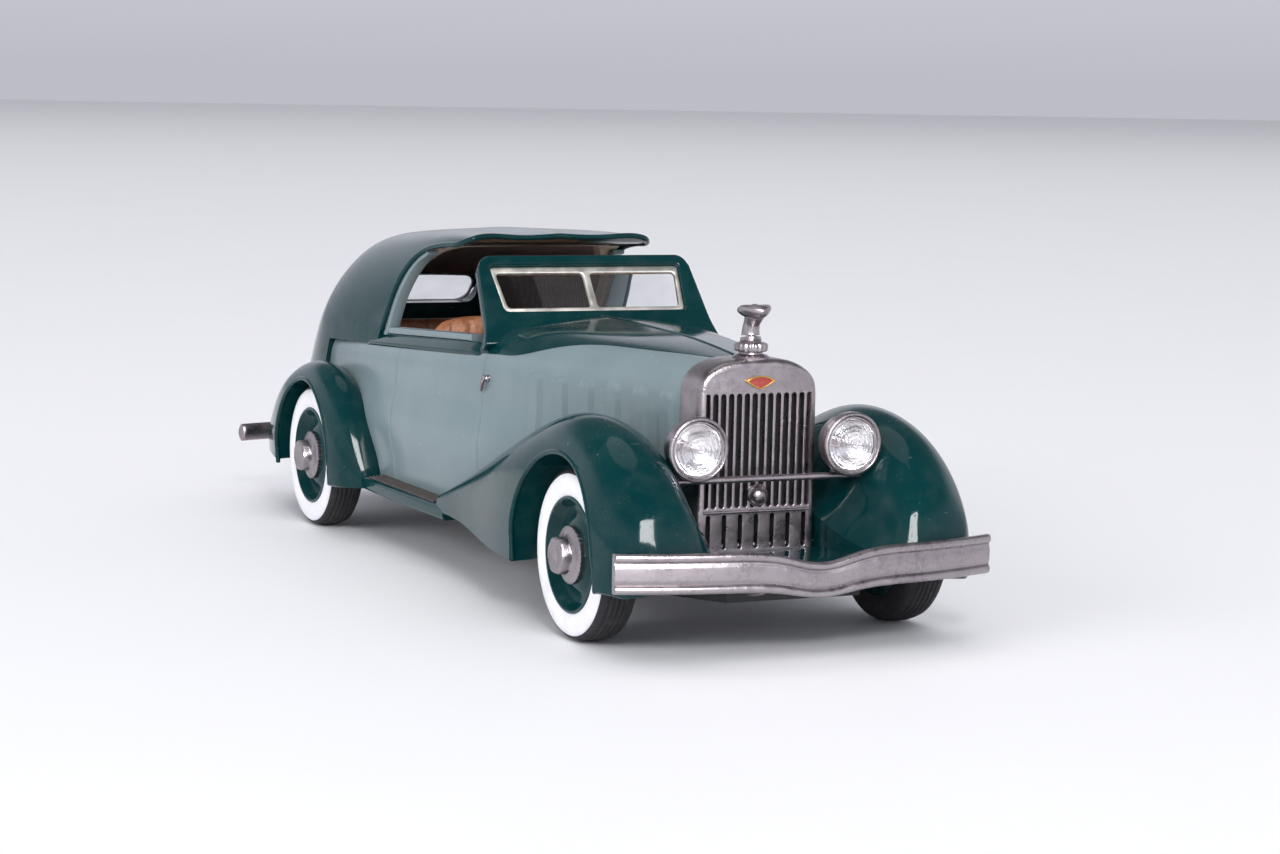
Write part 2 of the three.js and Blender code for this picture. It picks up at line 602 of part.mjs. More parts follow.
// Filler cap with a plain mascot of one forward-leaning wing standing on it.
const CAP_STATION = -0.6;
const CAP_PROFILE = [
  [0, 28.95], [1.0, 28.95], [1.0, 29.3], [1.6, 29.5], [1.6, 30.3], [1.2, 30.6], [0, 30.6],
];
const MASCOT_STEM = [
  [0.9, 30.9], [-0.9, 30.9], [-0.8, 31.5], [-1.1, 32.6], [-1.7, 33.8], [-0.3, 33.8], [0.2, 32.6], [0.7, 31.5],
];
const MASCOT_WING = [[0.4, 33.3], [-1.3, 33.2], [-3.2, 33.7], [-3.5, 34.2], [-1.7, 34.5], [-0.1, 34.1]];

function makeMascot() {
  const stem = solid(prism(MASCOT_STEM, "x", -0.6, 0.6));
  const wing = solid(prism(MASCOT_WING, "x", -1.3, 1.3));
  return stem.add(wing).translate([0, CAP_STATION, 0]);
}

// ---------------------------------------------------------------- lamps and bumpers
const LAMP = { x: 8.9, front: -7.1, z: 20.2, rim: 3.35, lens: 2.7, depth: 4.9 };
const BAR_Z = 15.9;
const BAR_HALF = 9.6;
const BAR_STATION = -5.4;

function makeHeadlampBowl() {
  const socket = LAMP.lens + 0.1;
  const profile = [
    [0, LAMP.depth], [1.0, 4.7], [2.2, 3.7], [3.0, 2.2], [LAMP.rim, 0.9],
    [LAMP.rim, 0.1], [3.1, 0], [socket, 0], [socket, 0.9], [0, 0.9],
  ];
  return turned(profile, 18).translate(LAMP.x, LAMP.front, LAMP.z);
}

function makeHeadlampLens() {
  const profile = [[0, -0.35], [1.4, -0.25], [LAMP.lens - 0.3, 0.1], [LAMP.lens - 0.3, 0.6], [0, 0.6]];
  return turned(profile, 18).translate(LAMP.x, LAMP.front, LAMP.z);
}

// Tie bar with a stanchion under each lamp; its ends run into the fender flanks.
function makeHeadlampBar() {
  const bar = solid(cylinder(0.42, -BAR_HALF, BAR_HALF, 10, "x")).translate([0, BAR_STATION, BAR_Z]);
  const post = solid(cylinder(0.5, BAR_Z, LAMP.z - LAMP.rim - 0.1, 10, "z"));
  const stanchion = post.translate([LAMP.x, BAR_STATION, 0]);
  return bar.add(stanchion).add(stanchion.mirror([1, 0, 0]));
}

const BUMPER_HALF_WIDTH = 21.4;
const BUMPER_Z = 7.5;
// Bumper face section as [forward, height] with two beads and a flat band between them.
const BUMPER_SECTION = [
  [0, 0], [0.55, 0.1], [0.9, 0.45], [0.55, 0.85], [0.75, 1.1],
  [0.75, 2.6], [0.5, 2.85], [0.85, 3.25], [0.5, 3.65], [0, 3.75],
];
const REAR_BUMPER_DEPTH = 0.66; // share of the front bumper's height
const IRON_X = [4.8, 6.4];

// Blade swept from side to side: curve(x) gives its station, drop(x) how far it dips, and depth
// scales its height.
function makeBumper(curve, drop, facing, depth = 1) {
  const swapXY = new THREE.Matrix4().set(0, 1, 0, 0, 1, 0, 0, 0, 0, 0, 1, 0, 0, 0, 0, 1);
  const rings = span(-BUMPER_HALF_WIDTH, BUMPER_HALF_WIDTH, 20).map((x) =>
    BUMPER_SECTION.map(([forward, up]) => {
      const z = BUMPER_Z + up * depth - drop(x) * (0.45 + 0.15 * up);
      return [curve(x) - facing * forward, x, z];
    }),
  );
  return loft(rings).applyMatrix4(swapXY);
}

// The front blade dips at its middle, and both blades sweep back towards their ends.
const dip = (x) => 1.8 * Math.exp(-((x / 4.2) ** 4));
const sweep = (x, depth) => 0.9 + depth * Math.abs(x / BUMPER_HALF_WIDTH) ** 2.4;
const frontCurve = (x) => NOSE_STATION + sweep(x, 3.4);
const rearCurve = (x) => TAIL_STATION - sweep(x, 3.0);

// Two cranked irons carry each bumper from the top of the chassis plate.
function withIrons(bumper, back, plateEnd) {
  const [y0, y1] = [back, plateEnd].sort((a, b) => a - b);
  const riser = back < plateEnd ? [y0 - 0.1, y0 + 1.0] : [y1 - 1.0, y1 + 0.1];
  const low = PLATE_TOP + FIT_GAP;
  const iron = solid(box(IRON_X, [y0, y1], [low, low + 1.0]));
  const arm = iron.add(solid(box(IRON_X, riser, [low, BUMPER_Z + 2])));
  return solid(bumper).add(arm).add(arm.mirror([1, 0, 0]));
}

// ---------------------------------------------------------------- windscreen
const SCREEN_RAKE = Math.atan2(4.0, 5.4);
const SCREEN_BASE = [38.9, 30.2]; // station and height of the glass's lower edge
const SCREEN_HEIGHT = 6.3;

// Places a flat piece drawn upright at station 0 onto the raked screen plane.
const onScreen = (manifold) =>
  manifold.rotate([-(SCREEN_RAKE * 180) / Math.PI, 0, 0]).translate([0, SCREEN_BASE[0], SCREEN_BASE[1]]);

// Four corners drawn upright, the upper two cut back by the given amount.
function screenOutline(bottomHalf, topHalf, z0, z1, corner = 0) {
  const lower = [[-bottomHalf, z0], [bottomHalf, z0]];
  if (corner === 0) return [...lower, [topHalf, z1], [-topHalf, z1]];
  const bend = 0.3 * corner;
  const shoulder = [[topHalf, z1 - corner], [topHalf - bend, z1 - bend], [topHalf - corner, z1]];
  return [...lower, ...shoulder, ...shoulder.map(([x, z]) => [-x, z]).reverse()];
}

const atScreen = (outline, front, back) => onScreen(solid(prism(outline, "y", front, back)));

// Frame whose foot follows the cowl and whose lower corners stop above the belt rails.
function makeScreenFrame() {
  const plate = atScreen(screenOutline(13.7, 13.1, -4.6, SCREEN_HEIGHT + 1.3, 1.3), -0.7, 0.8);
  const opening = atScreen(screenOutline(11.1, 11.7, 0, SCREEN_HEIGHT), -2, 2);
  const hood = bodyEnvelope(HOOD_STATION, SEAM_STATION, 12);
  const cowl = hood.translate([0, 0, FIT_GAP]).add(hood.translate([0, 0, -1]));
  const rails = solid(box([-ACROSS, ACROSS], [CABIN_FRONT - 2.2, 60], [0, sillZ(CABIN_FRONT) + FIT_GAP]));
  return plate.subtract(opening).subtract(cowl).subtract(rails);
}

function makeScreenTrim() {
  const outer = atScreen(screenOutline(10.8, 11.4, 0.3, SCREEN_HEIGHT - 0.3), -0.35, 0.35);
  const top = SCREEN_HEIGHT - 1.0;
  const pane = atScreen([[0.35, 1.0], [10.1, 1.0], [10.6, top], [0.35, top]], -2, 2);
  return outer.subtract(pane).subtract(pane.mirror([1, 0, 0]));
}

// One clear sheet glued to the back of the trim.
const makeScreenGlass = () => atScreen(screenOutline(10.4, 11.0, 0.6, SCREEN_HEIGHT - 0.6), 0.65, 0.95);

// Door-top cap and pillar facing, painted with the door.
function makeWindowSurround() {
  const s0 = CABIN_FRONT + 2.2;
  const s1 = 68.6;
  const lower = [[s0, sillZ(s0) + FIT_GAP], [s1, sillZ(s1) + FIT_GAP]];
  const pillar = [[65.9, 30.3], [63.1, 34.0], [62.3, 34.0], [65.0, 30.0], [66.8, sillZ(67) + 0.9]];
  const outline = [...lower, ...pillar, [s0, sillZ(s0) + 0.8]];
  const strip = solid(prism(outline, "x", CABIN_HALF_WIDTH - 0.2, ACROSS));
  const stations = [36, 48, 60, 72];
  return strip.intersect(tailEnvelope(stations, 0.5)).subtract(tailEnvelope(stations, 2.2));
}

// ---------------------------------------------------------------- cabin
// Floor pan, raised in a box over the rear axle.
function makeTub() {
  const [a, b] = [CABIN_FRONT + 0.4, 92.8];
  const [low, high, thick] = [7.2, 11.3, 1.1];
  const [rise, fall] = [WHEELBASE - 4.6, WHEELBASE + 4.6];
  const underside = [[a, low], [rise, low], [rise, high], [fall, high], [fall, low], [b, low]];
  const topside = [[b, low + thick], [fall + thick, low + thick], [fall + thick, high + thick]];
  const front = [[rise - thick, high + thick], [rise - thick, low + thick], [a, low + thick]];
  return solid(prism([...underside, ...topside, ...front], "x", -12, 12));
}

// Side profiles as [station, height].
const FRONT_SEAT = [
  [50, 8.7], [63.8, 8.7], [65.6, 25.4], [64.6, 26.9], [63.0, 26.6], [60.2, 16.2], [51, 16.4], [50, 15.4],
];
const REAR_SEAT = [
  [77, 12.8], [88.2, 12.8], [91.6, 24.0], [90.4, 25.2], [88.9, 24.8], [86.0, 17.4], [78, 17.8], [77, 16.8],
];
const DASHBOARD = [
  [CABIN_FRONT + FIT_GAP, 21], [41.2, 21.6], [42.4, 24.4], [41.8, 26.0], [CABIN_FRONT + FIT_GAP, 26.4],
];
const FRONT_SEAT_HALF = 11.2;
const REAR_SEAT_HALF = 10.6;
const DASHBOARD_HALF = 11.6;
const STEERING = { x: -6.4, station: 48.2, z: 24.6, radius: 3.3, tilt: -52 };

// Four-spoke wheel on its column, on the right-hand side of the car.
function makeSteeringWheel() {
  const rim = solid(new THREE.TorusGeometry(STEERING.radius, 0.32, 6, 16));
  const reach = STEERING.radius - 0.1;
  const spoke = solid(box([-reach, reach], [-0.22, 0.22], [-0.15, 0.15]));
  const spokes = [45, 135].map((angle) => spoke.rotate([0, 0, angle]));
  const hub = solid(cylinder(0.75, -0.3, 0.45, 10, "z"));
  const column = solid(cylinder(0.4, -6.4, 0, 8, "z"));
  return [...spokes, hub, column]
    .reduce((sum, piece) => sum.add(piece), rim)
    .rotate([STEERING.tilt, 0, 0])
    .translate([STEERING.x, STEERING.station, STEERING.z]);
}

// ---------------------------------------------------------------- chassis and running gear
const BOSSES = [14, 66]; // where a display plinth's screws pull up
const BOSS_BOTTOM = 2.6;

function makeChassis() {
  const half = 11.6;
  const leftSide = [[half - 4, -11.5], [half, -5], [half, 92], [half - 3, 104]];
  const outline = [...leftSide, ...leftSide.map(([x, s]) => [-x, s]).reverse()];
  const plate = solid(prism(outline, "z", PLATE_BOTTOM, PLATE_TOP));
  const boss = solid(cylinder(3.0, BOSS_BOTTOM, PLATE_TOP - 0.5, 20, "z"));
  const bosses = BOSSES.map((s) => boss.translate([0, s, 0]));
  const posts = [0, WHEELBASE].flatMap((s) => [makeBearing(-BEARING_X, s), makeBearing(BEARING_X, s)]);
  const whole = [...bosses, ...posts].reduce((body, piece) => body.add(piece), plate);
  return SCREWS.reduce((body, s) => body.subtract(screwHole(s)), whole);
}

// Upright with a round bearing hole for an axle.
function makeBearing(x, s) {
  const length = [s - BEARING_LENGTH / 2, s + BEARING_LENGTH / 2];
  const post = solid(box([x - 0.8, x + 0.8], length, [PLATE_TOP - 0.2, BEARING_TOP]));
  const hole = solid(cylinder(BEARING_RADIUS, x - 2, x + 2, 16, "x")).translate([0, s, AXLE_HEIGHT]);
  return post.subtract(hole);
}

// Steel axle, pressed into both wheels and running in the chassis bearings.
const makeAxle = (station) =>
  cylinder(AXLE_RADIUS, -AXLE_HALF, AXLE_HALF, 16, "x").translate(0, station, AXLE_HEIGHT);

// Pipe with a long silencer, glued under the plate.
function makeExhaust() {
  const radius = 0.95;
  const pipe = solid(cylinder(0.5, 6, 106, 10, "y"));
  const profile = [[0, 36], [0.7, 36], [radius, 36.6], [radius, 53.4], [0.7, 54], [0, 54]];
  return pipe.add(solid(turned(profile, 12))).translate([-7.2, 0, PLATE_BOTTOM - FIT_GAP - radius]);
}

const WHEEL_CORNERS = [
  ["front_left", 0, 1],
  ["front_right", 0, -1],
  ["rear_left", WHEELBASE, 1],
  ["rear_right", WHEELBASE, -1],
];

// Wheel pieces are [radius, distance out] profiles for the left side, turned about the axle.
const BEAD_RADIUS = RIM_RADIUS + 0.25;
const TYRE_PROFILE = [
  [BEAD_RADIUS, TYRE_INNER_X],
  [8.2, TYRE_INNER_X],
  [TYRE_RADIUS, TYRE_INNER_X + 0.9],
  [TYRE_RADIUS, TYRE_OUTER_X - 0.9],
  [8.55, TYRE_OUTER_X - 0.35],
  [8.55, TYRE_OUTER_X - 0.9],
  [BEAD_RADIUS, TYRE_OUTER_X - 0.9],
  [BEAD_RADIUS, TYRE_INNER_X],
];
const WHITEWALL_PROFILE = [
  [BEAD_RADIUS, TYRE_OUTER_X - 0.6],
  [WHITEWALL_RADIUS, TYRE_OUTER_X - 0.6],
  [WHITEWALL_RADIUS, TYRE_OUTER_X - 0.15],
  [7.2, TYRE_OUTER_X],
  [BEAD_RADIUS, TYRE_OUTER_X - 0.2],
  [BEAD_RADIUS, TYRE_OUTER_X - 0.6],
];
const DISC_PROFILE = [
  [BORE_RADIUS, TYRE_INNER_X + 0.4],
  [RIM_RADIUS - 0.05, TYRE_INNER_X + 0.4],
  [RIM_RADIUS - 0.05, TYRE_OUTER_X - 0.4],
  [5.3, TYRE_OUTER_X - 0.5],
  [4.6, TYRE_OUTER_X - 1.3],
  [3.2, TYRE_OUTER_X - 0.9],
  [BORE_RADIUS, TYRE_OUTER_X - 0.9],
  [BORE_RADIUS, TYRE_INNER_X + 0.4],
];
const HUB_PROFILE = [
  [0, TYRE_OUTER_X - 0.6],
  [3.0, TYRE_OUTER_X - 0.6],
  [3.0, TYRE_OUTER_X - 0.1],
  [2.7, TYRE_OUTER_X + 0.2],
  [1.95, TYRE_OUTER_X + 0.4],
  [2.0, TYRE_OUTER_X + 1.2],
  [1.6, TYRE_OUTER_X + 1.5],
  [0, TYRE_OUTER_X + 1.5],
];

function addWheel([corner, station, side]) {
  const pieces = [
    ["wheel_disc", DISC_PROFILE, 16, GREEN],
    ["tyre", TYRE_PROFILE, TYRE_SIDES, RUBBER],
    ["whitewall", WHITEWALL_PROFILE, TYRE_SIDES, WHITE],
    ["hub_cap", HUB_PROFILE, 14, NICKEL],
  ];
  for (const [name, profile, sides, material] of pieces) {
    const flat = Math.PI / sides; // turns one flat of the outline to the ground
    const geometry = turned(profile, sides, "x").rotateX(flat);
    const mesh = add(`${name}_${corner}`, solid(geometry), material);
    mesh.position.set(0, station, AXLE_HEIGHT);
    mesh.scale.x = side;
  }
}

// ---------------------------------------------------------------- small fittings
const HANDLE = { station: 35.6, z: 23.2 };

function makeDoorHandle() {
  const lever = solid(box([0, 0.55], [-0.4, 2.8], [-0.4, 0.4]));
  const boss = solid(cylinder(0.65, -0.7, 0.1, 12, "x"));
  return lever.add(boss).translate([doorX(HANDLE.station, HANDLE.z) + 1.0, HANDLE.station, HANDLE.z]);
}
function makeTailLamp() {
  const profile = [[0, 0], [0.8, 0.4], [1.15, 1.4], [1.15, 3.2], [0.9, 3.6], [0, 3.8]];
  const body = solid(turned(profile, 14)).translate([14.6, 100.6, 12.9]);
  const fender = fenderEnvelope(rearFender);
  return body.subtract(fender.translate([0, 0, FIT_GAP]).add(fender.translate([-FIT_GAP, 0, 0])));
}

function makeBaseScrew(station) {
  const head = [[0, PLATE_BOTTOM - 1.0], [1.7, PLATE_BOTTOM - 1.0], [1.7, PLATE_BOTTOM - FIT_GAP]];
  const shank = [[0.8, PLATE_BOTTOM - FIT_GAP], [0.8, SCREW_TIP], [0, SCREW_TIP]];
  return turned([...head, ...shank], 14, "z").translate(0, station, 0);
}

// ---------------------------------------------------------------- assembly
add("chassis_plate", makeChassis(), BLACK);
add("exhaust_pipe", makeExhaust(), STEEL);
SCREWS.forEach((s, i) => add(["base_screw_front", "base_screw_rear"][i], makeBaseScrew(s), STEEL));

add("body_shell", makeBodyShell(), SAGE);
add("roof_shell", makeRoofShell(), GREEN);
addPair("window_surround", makeWindowSurround(), SAGE);
addPair("front_fender", makeFrontFender(), GREEN);
addPair("rear_fender", makeFender(rearFender, REAR_ARCH), GREEN);
addPair("running_board", makeRunningBoard(), GREEN);
add("front_apron", makeFrontApron(), GREEN);

add("radiator_shell", makeRadiatorShell(), NICKEL);
add("radiator_core", makeRadiatorCore(), BLACK);
add("radiator_badge", makeBadge(), ENAMEL);
add("crank_cover", makeCrankCover(), NICKEL);
add("radiator_cap", turned(CAP_PROFILE, 20, "z").translate(0, CAP_STATION, 0), NICKEL);
add("mascot", makeMascot(), NICKEL);

addPair("headlamp_bowl", makeHeadlampBowl(), NICKEL);
addPair("headlamp_lens", makeHeadlampLens(), CLEAR);
add("headlamp_tie_bar", makeHeadlampBar(), NICKEL);
add("front_bumper", withIrons(makeBumper(frontCurve, dip, 1), frontCurve(7), -6), NICKEL);
const rearBlade = makeBumper(rearCurve, () => 0, -1, REAR_BUMPER_DEPTH);
add("rear_bumper", withIrons(rearBlade, rearCurve(7), 98), NICKEL);
addPair("tail_lamp", makeTailLamp(), AMBER);
addPair("door_handle", makeDoorHandle(), NICKEL);

add("windscreen_frame", makeScreenFrame(), GREEN);
add("windscreen_trim", makeScreenTrim(), NICKEL);
add("windscreen_glass", makeScreenGlass(), CLEAR);
add("rear_window_glass", makeRearGlass(), CLEAR);

add("interior_tub", makeTub(), LEATHER);
add("front_seat", prism(FRONT_SEAT, "x", -FRONT_SEAT_HALF, FRONT_SEAT_HALF), LEATHER);
add("rear_seat", prism(REAR_SEAT, "x", -REAR_SEAT_HALF, REAR_SEAT_HALF), LEATHER);
add("dashboard", prism(DASHBOARD, "x", -DASHBOARD_HALF, DASHBOARD_HALF), LEATHER);
add("steering_wheel", makeSteeringWheel(), BLACK);

add("front_axle", makeAxle(0), STEEL);
add("rear_axle", makeAxle(WHEELBASE), STEEL);
WHEEL_CORNERS.forEach(addWheel);

export default car;
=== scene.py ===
"""Diecast collector car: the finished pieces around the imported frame, in metres."""

import math

import bmesh
import bpy
import numpy as np
from mathutils import Matrix, Vector


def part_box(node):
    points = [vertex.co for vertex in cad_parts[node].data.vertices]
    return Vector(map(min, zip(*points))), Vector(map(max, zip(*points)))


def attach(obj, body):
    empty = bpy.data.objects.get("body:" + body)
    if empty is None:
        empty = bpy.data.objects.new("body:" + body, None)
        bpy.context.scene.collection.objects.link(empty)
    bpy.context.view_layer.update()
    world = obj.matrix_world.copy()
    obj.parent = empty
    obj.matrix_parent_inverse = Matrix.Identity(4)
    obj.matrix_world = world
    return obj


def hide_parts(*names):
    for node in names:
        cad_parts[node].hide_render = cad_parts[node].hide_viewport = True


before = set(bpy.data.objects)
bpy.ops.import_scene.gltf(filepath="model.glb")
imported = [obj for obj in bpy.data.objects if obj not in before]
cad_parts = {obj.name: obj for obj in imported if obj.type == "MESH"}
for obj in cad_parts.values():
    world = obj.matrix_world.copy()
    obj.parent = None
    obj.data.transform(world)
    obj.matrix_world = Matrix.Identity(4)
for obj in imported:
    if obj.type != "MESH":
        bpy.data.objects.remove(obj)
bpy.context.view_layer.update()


# ---------------------------------------------------------------- the frame's own sizes, in mm
# Stations are millimetres behind the front axle, as points (x, station, height).
MM = 0.001
GRAIN = 1000.0  # texture scales are given per millimetre
WELD, SLIVER = 1e-7, 1e-8  # metres: points closer than this are merged, thinner faces are dropped


def box_mm(node):
    """A CAD node's box as (lowest, highest) points of (x, station, height) in mm."""
    origin = np.array([0, FRONT_AXLE_Y, 0])
    return [(np.array(corner) - origin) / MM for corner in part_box(node)]


FRONT_AXLE_Y = sum(corner.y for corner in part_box("front_axle")) / 2
AXLE_Z = sum(corner[2] for corner in box_mm("front_axle")) / 2
WHEELBASE = sum(corner[1] for corner in box_mm("rear_axle")) / 2
HOOD_STATION = box_mm("body_shell")[0][1]
SEAM_STATION = box_mm("body_shell")[1][1]
CABIN_FRONT = box_mm("dashboard")[0][1] - 0.3
RADIATOR_FRONT, RADIATOR_BACK = (corner[1] for corner in box_mm("radiator_shell"))
RADIATOR_HALF, RADIATOR_TOP = box_mm("radiator_shell")[1][0::2]
RADIATOR_BOTTOM = box_mm("radiator_shell")[0][2]
TYRE_OUTER_X = box_mm("whitewall_front_left")[1][0]
TYRE_INNER_X = box_mm("tyre_front_left")[0][0]
CABIN_HALF_WIDTH = 12.4
FLOOR_Z = 7.0
WAIST_Z = 15.5
BEYOND = 40.0  # past the widest piece, for cuts that run right out
FULL_TURN = 2 * math.pi


# ---------------------------------------------------------------- curves
def spline(knots):
    """Natural cubic curve through (at, value) knots, held level outside them."""
    at, value = (np.array(column, float) for column in zip(*knots))
    gap = np.diff(at)
    system = np.eye(len(at))
    pull = np.zeros(len(at))
    for i in range(1, len(at) - 1):
        system[i, i - 1 : i + 2] = gap[i - 1], 2 * (gap[i - 1] + gap[i]), gap[i]
        slopes = (value[i + 1] - value[i]) / gap[i] - (value[i] - value[i - 1]) / gap[i - 1]
        pull[i] = 6 * slopes
    bend = np.linalg.solve(system, pull)

    def curve(x):
        x = np.clip(x, at[0], at[-1])
        i = np.clip(np.searchsorted(at, x) - 1, 0, len(gap) - 1)
        a = (at[i + 1] - x) / gap[i]
        b = 1 - a
        cubic = ((a**3 - a) * bend[i] + (b**3 - b) * bend[i + 1]) * gap[i] ** 2 / 6
        return a * value[i] + b * value[i + 1] + cubic

    return curve


def smooth_line(points, count):
    """Evenly spaced points of a smooth curve through 2-D or 3-D control points."""
    points = np.array(points, float)
    steps = np.linalg.norm(np.diff(points, axis=0), axis=1)
    along = np.concatenate([[0], np.cumsum(steps)])
    d = np.linspace(0, along[-1], count)
    return np.column_stack([spline(list(zip(along, column)))(d) for column in points.T])


def ease(t):
    t = np.clip(t, 0, 1)
    return t * t * (3 - 2 * t)


def rounded(half_x, half_y, radius, steps=8, centre=(0, 0)):
    """Outline of a rectangle with round corners."""
    points = []
    for quarter in range(4):
        sign_x = 1 if quarter in (0, 3) else -1
        sign_y = 1 if quarter in (0, 1) else -1
        for angle in np.linspace(0, math.pi / 2, steps) + quarter * math.pi / 2:
            x = sign_x * (half_x - radius) + radius * math.cos(angle)
            y = sign_y * (half_y - radius) + radius * math.sin(angle)
            points.append((x + centre[0], y + centre[1]))
    return points


def round_corners(corners, radius, steps=6):
    """Outline through corners, each replaced by an arc-like curve of about that radius."""
    points = []
    count = len(corners)
    for i, corner in enumerate(corners):
        corner = np.array(corner, float)
        before = np.array(corners[i - 1], float) - corner
        after = np.array(corners[(i + 1) % count], float) - corner
        start = corner + before / np.linalg.norm(before) * radius
        end = corner + after / np.linalg.norm(after) * radius
        for t in np.linspace(0, 1, steps):
            points.append(tuple((1 - t) ** 2 * start + 2 * t * (1 - t) * corner + t * t * end))
    return points


# ---------------------------------------------------------------- mesh helpers
def to_world(points):
    return np.asarray(points, float) * MM + np.array([0, FRONT_AXLE_Y, 0])


def link(name, data):
    obj = bpy.data.objects.new(name, data)
    bpy.context.scene.collection.objects.link(obj)
    return obj


def cleaned(data, weld, sliver=0.0):
    """Merges a mesh's doubled points, drops its slivers and turns its faces outwards."""
    work = bmesh.new()
    work.from_mesh(data)
    bmesh.ops.remove_doubles(work, verts=work.verts, dist=weld)
    if sliver:
        bmesh.ops.dissolve_degenerate(work, edges=work.edges, dist=sliver)
    bmesh.ops.recalc_face_normals(work, faces=work.faces)
    work.to_mesh(data)
    work.free()


def mesh(name, points, faces):
    """Mesh object from points in mm."""
    data = bpy.data.meshes.new(name)
    data.from_pydata(to_world(points).tolist(), [], faces)
    cleaned(data, WELD, SLIVER)
    return link(name, data)


def skin(name, rows, ring=True, loop=False, caps=True):
    """Quads over rows of points. ring closes each row on itself, loop joins the last row to the first."""
    rows = np.asarray(rows, float)
    n, m = rows.shape[:2]
    faces = []
    for i in range(n if loop else n - 1):
        for j in range(m if ring else m - 1):
            k, following = (j + 1) % m, (i + 1) % n
            faces.append((i * m + j, i * m + k, following * m + k, following * m + j))
    if caps and not loop:
        faces.append(tuple(range(m)))
        faces.append(tuple((n - 1) * m + j for j in range(m)))
    return mesh(name, rows.reshape(-1, 3), faces)


def prism(name, outline, axis, start, end):
    """Outline pushed along an axis: "x" takes (station, z), "y" takes (x, z), "z" takes (x, station)."""
    order = {"x": (2, 0, 1), "y": (0, 2, 1), "z": (0, 1, 2)}[axis]
    flat = np.array([(a, b, 0.0) for a, b in outline])
    rows = [flat + (0, 0, level) for level in (start, end)]
    return skin(name, [row[:, order] for row in rows])


def turned(name, profile, centre, axis="x", sides=96, shape=None):
    """Lathe: (radius, distance) profile about an axis through centre. shape(radius, angle, row)
    may change the radius. A profile ends on the axis or closes on itself."""
    angles = np.linspace(0, FULL_TURN, sides, endpoint=False)
    rows = []
    for row, (radius, distance) in enumerate(profile):
        r = shape(radius, angles, row) if shape else np.full(sides, float(radius))
        u, v = r * np.cos(angles), r * np.sin(angles)
        along = np.full(sides, float(distance))
        order = {"x": (along, u, v), "y": (u, along, v), "z": (u, v, along)}[axis]
        rows.append(np.column_stack(order))
    points = np.array(rows) + np.array(centre, float)
    return skin(name, points, loop=profile[0][0] > 0, caps=False)


def bake(obj):
    """Applies an object's modifiers, or turns a curve into a mesh."""
    depsgraph = bpy.context.evaluated_depsgraph_get()
    data = bpy.data.meshes.new_from_object(obj.evaluated_get(depsgraph))
    if obj.type == "MESH":
        obj.modifiers.clear()
        obj.data = data
        return obj
    name = obj.name
    bpy.data.objects.remove(obj)
    return link(name, data)


def modify(obj, kind, **settings):
    modifier = obj.modifiers.new(kind.lower(), kind)
    for key, value in settings.items():
        setattr(modifier, key, value)
    return obj


def carve(obj, cutters, operation="DIFFERENCE"):
    """Cuts with (or joins to) other closed objects, which are used up."""
    for cutter in cutters:
        modify(obj, "BOOLEAN", object=cutter, operation=operation, solver="MANIFOLD")
    bake(obj)
    for cutter in cutters:
        bpy.data.objects.remove(cutter)
    return obj


def join(name, objects):
    """One object from several."""
    work = bmesh.new()
    for obj in objects:
        work.from_mesh(obj.data)
    data = bpy.data.meshes.new(name)
    work.to_mesh(data)
    work.free()
    for obj in objects:
        bpy.data.objects.remove(obj)
    return link(name, data)


def bevelled(obj, width, segments=3, angle=40):
    """Rounds the sharp edges by a width in mm."""
    limit = math.radians(angle)
    modify(obj, "BEVEL", width=width * MM, segments=segments, limit_method="ANGLE", angle_limit=limit)
    return bake(obj)


def mirrored(obj, name):
    """A copy on the other side of the car's centre plane."""
    data = obj.data.copy()
    data.transform(Matrix.Scale(-1, 4, (1, 0, 0)))
    data.flip_normals()
    return link(name, data)


def plate(name, outlines, thickness, bevel, centre=(0, 0, 0), rake=0.0):
    """Flat plate in the (x, z) plane with holes: the first outline is the edge, the rest are holes.
    Its edges are rounded by bevel. rake leans it back about the x axis."""
    curve = bpy.data.curves.new(name, "CURVE")
    curve.dimensions = "2D"
    curve.fill_mode = "BOTH"
    curve.extrude = (thickness / 2 - bevel) * MM
    curve.bevel_depth = bevel * MM
    curve.bevel_resolution = 2
    curve.offset = -bevel * MM
    for outline in outlines:
        path = curve.splines.new("POLY")
        path.points.add(len(outline) - 1)
        for point, (a, b) in zip(path.points, outline):
            point.co = (a * MM, b * MM, 0, 1)
        path.use_cyclic_u = True
    obj = bake(link(name, curve))
    upright = Matrix.Rotation(math.pi / 2, 4, "X")
    lean = Matrix.Rotation(-rake, 4, "X")
    place = Matrix.Translation(Vector(to_world(centre)))
    obj.data.transform(place @ lean @ upright)
    cleaned(obj.data, 2 * WELD)
    return obj


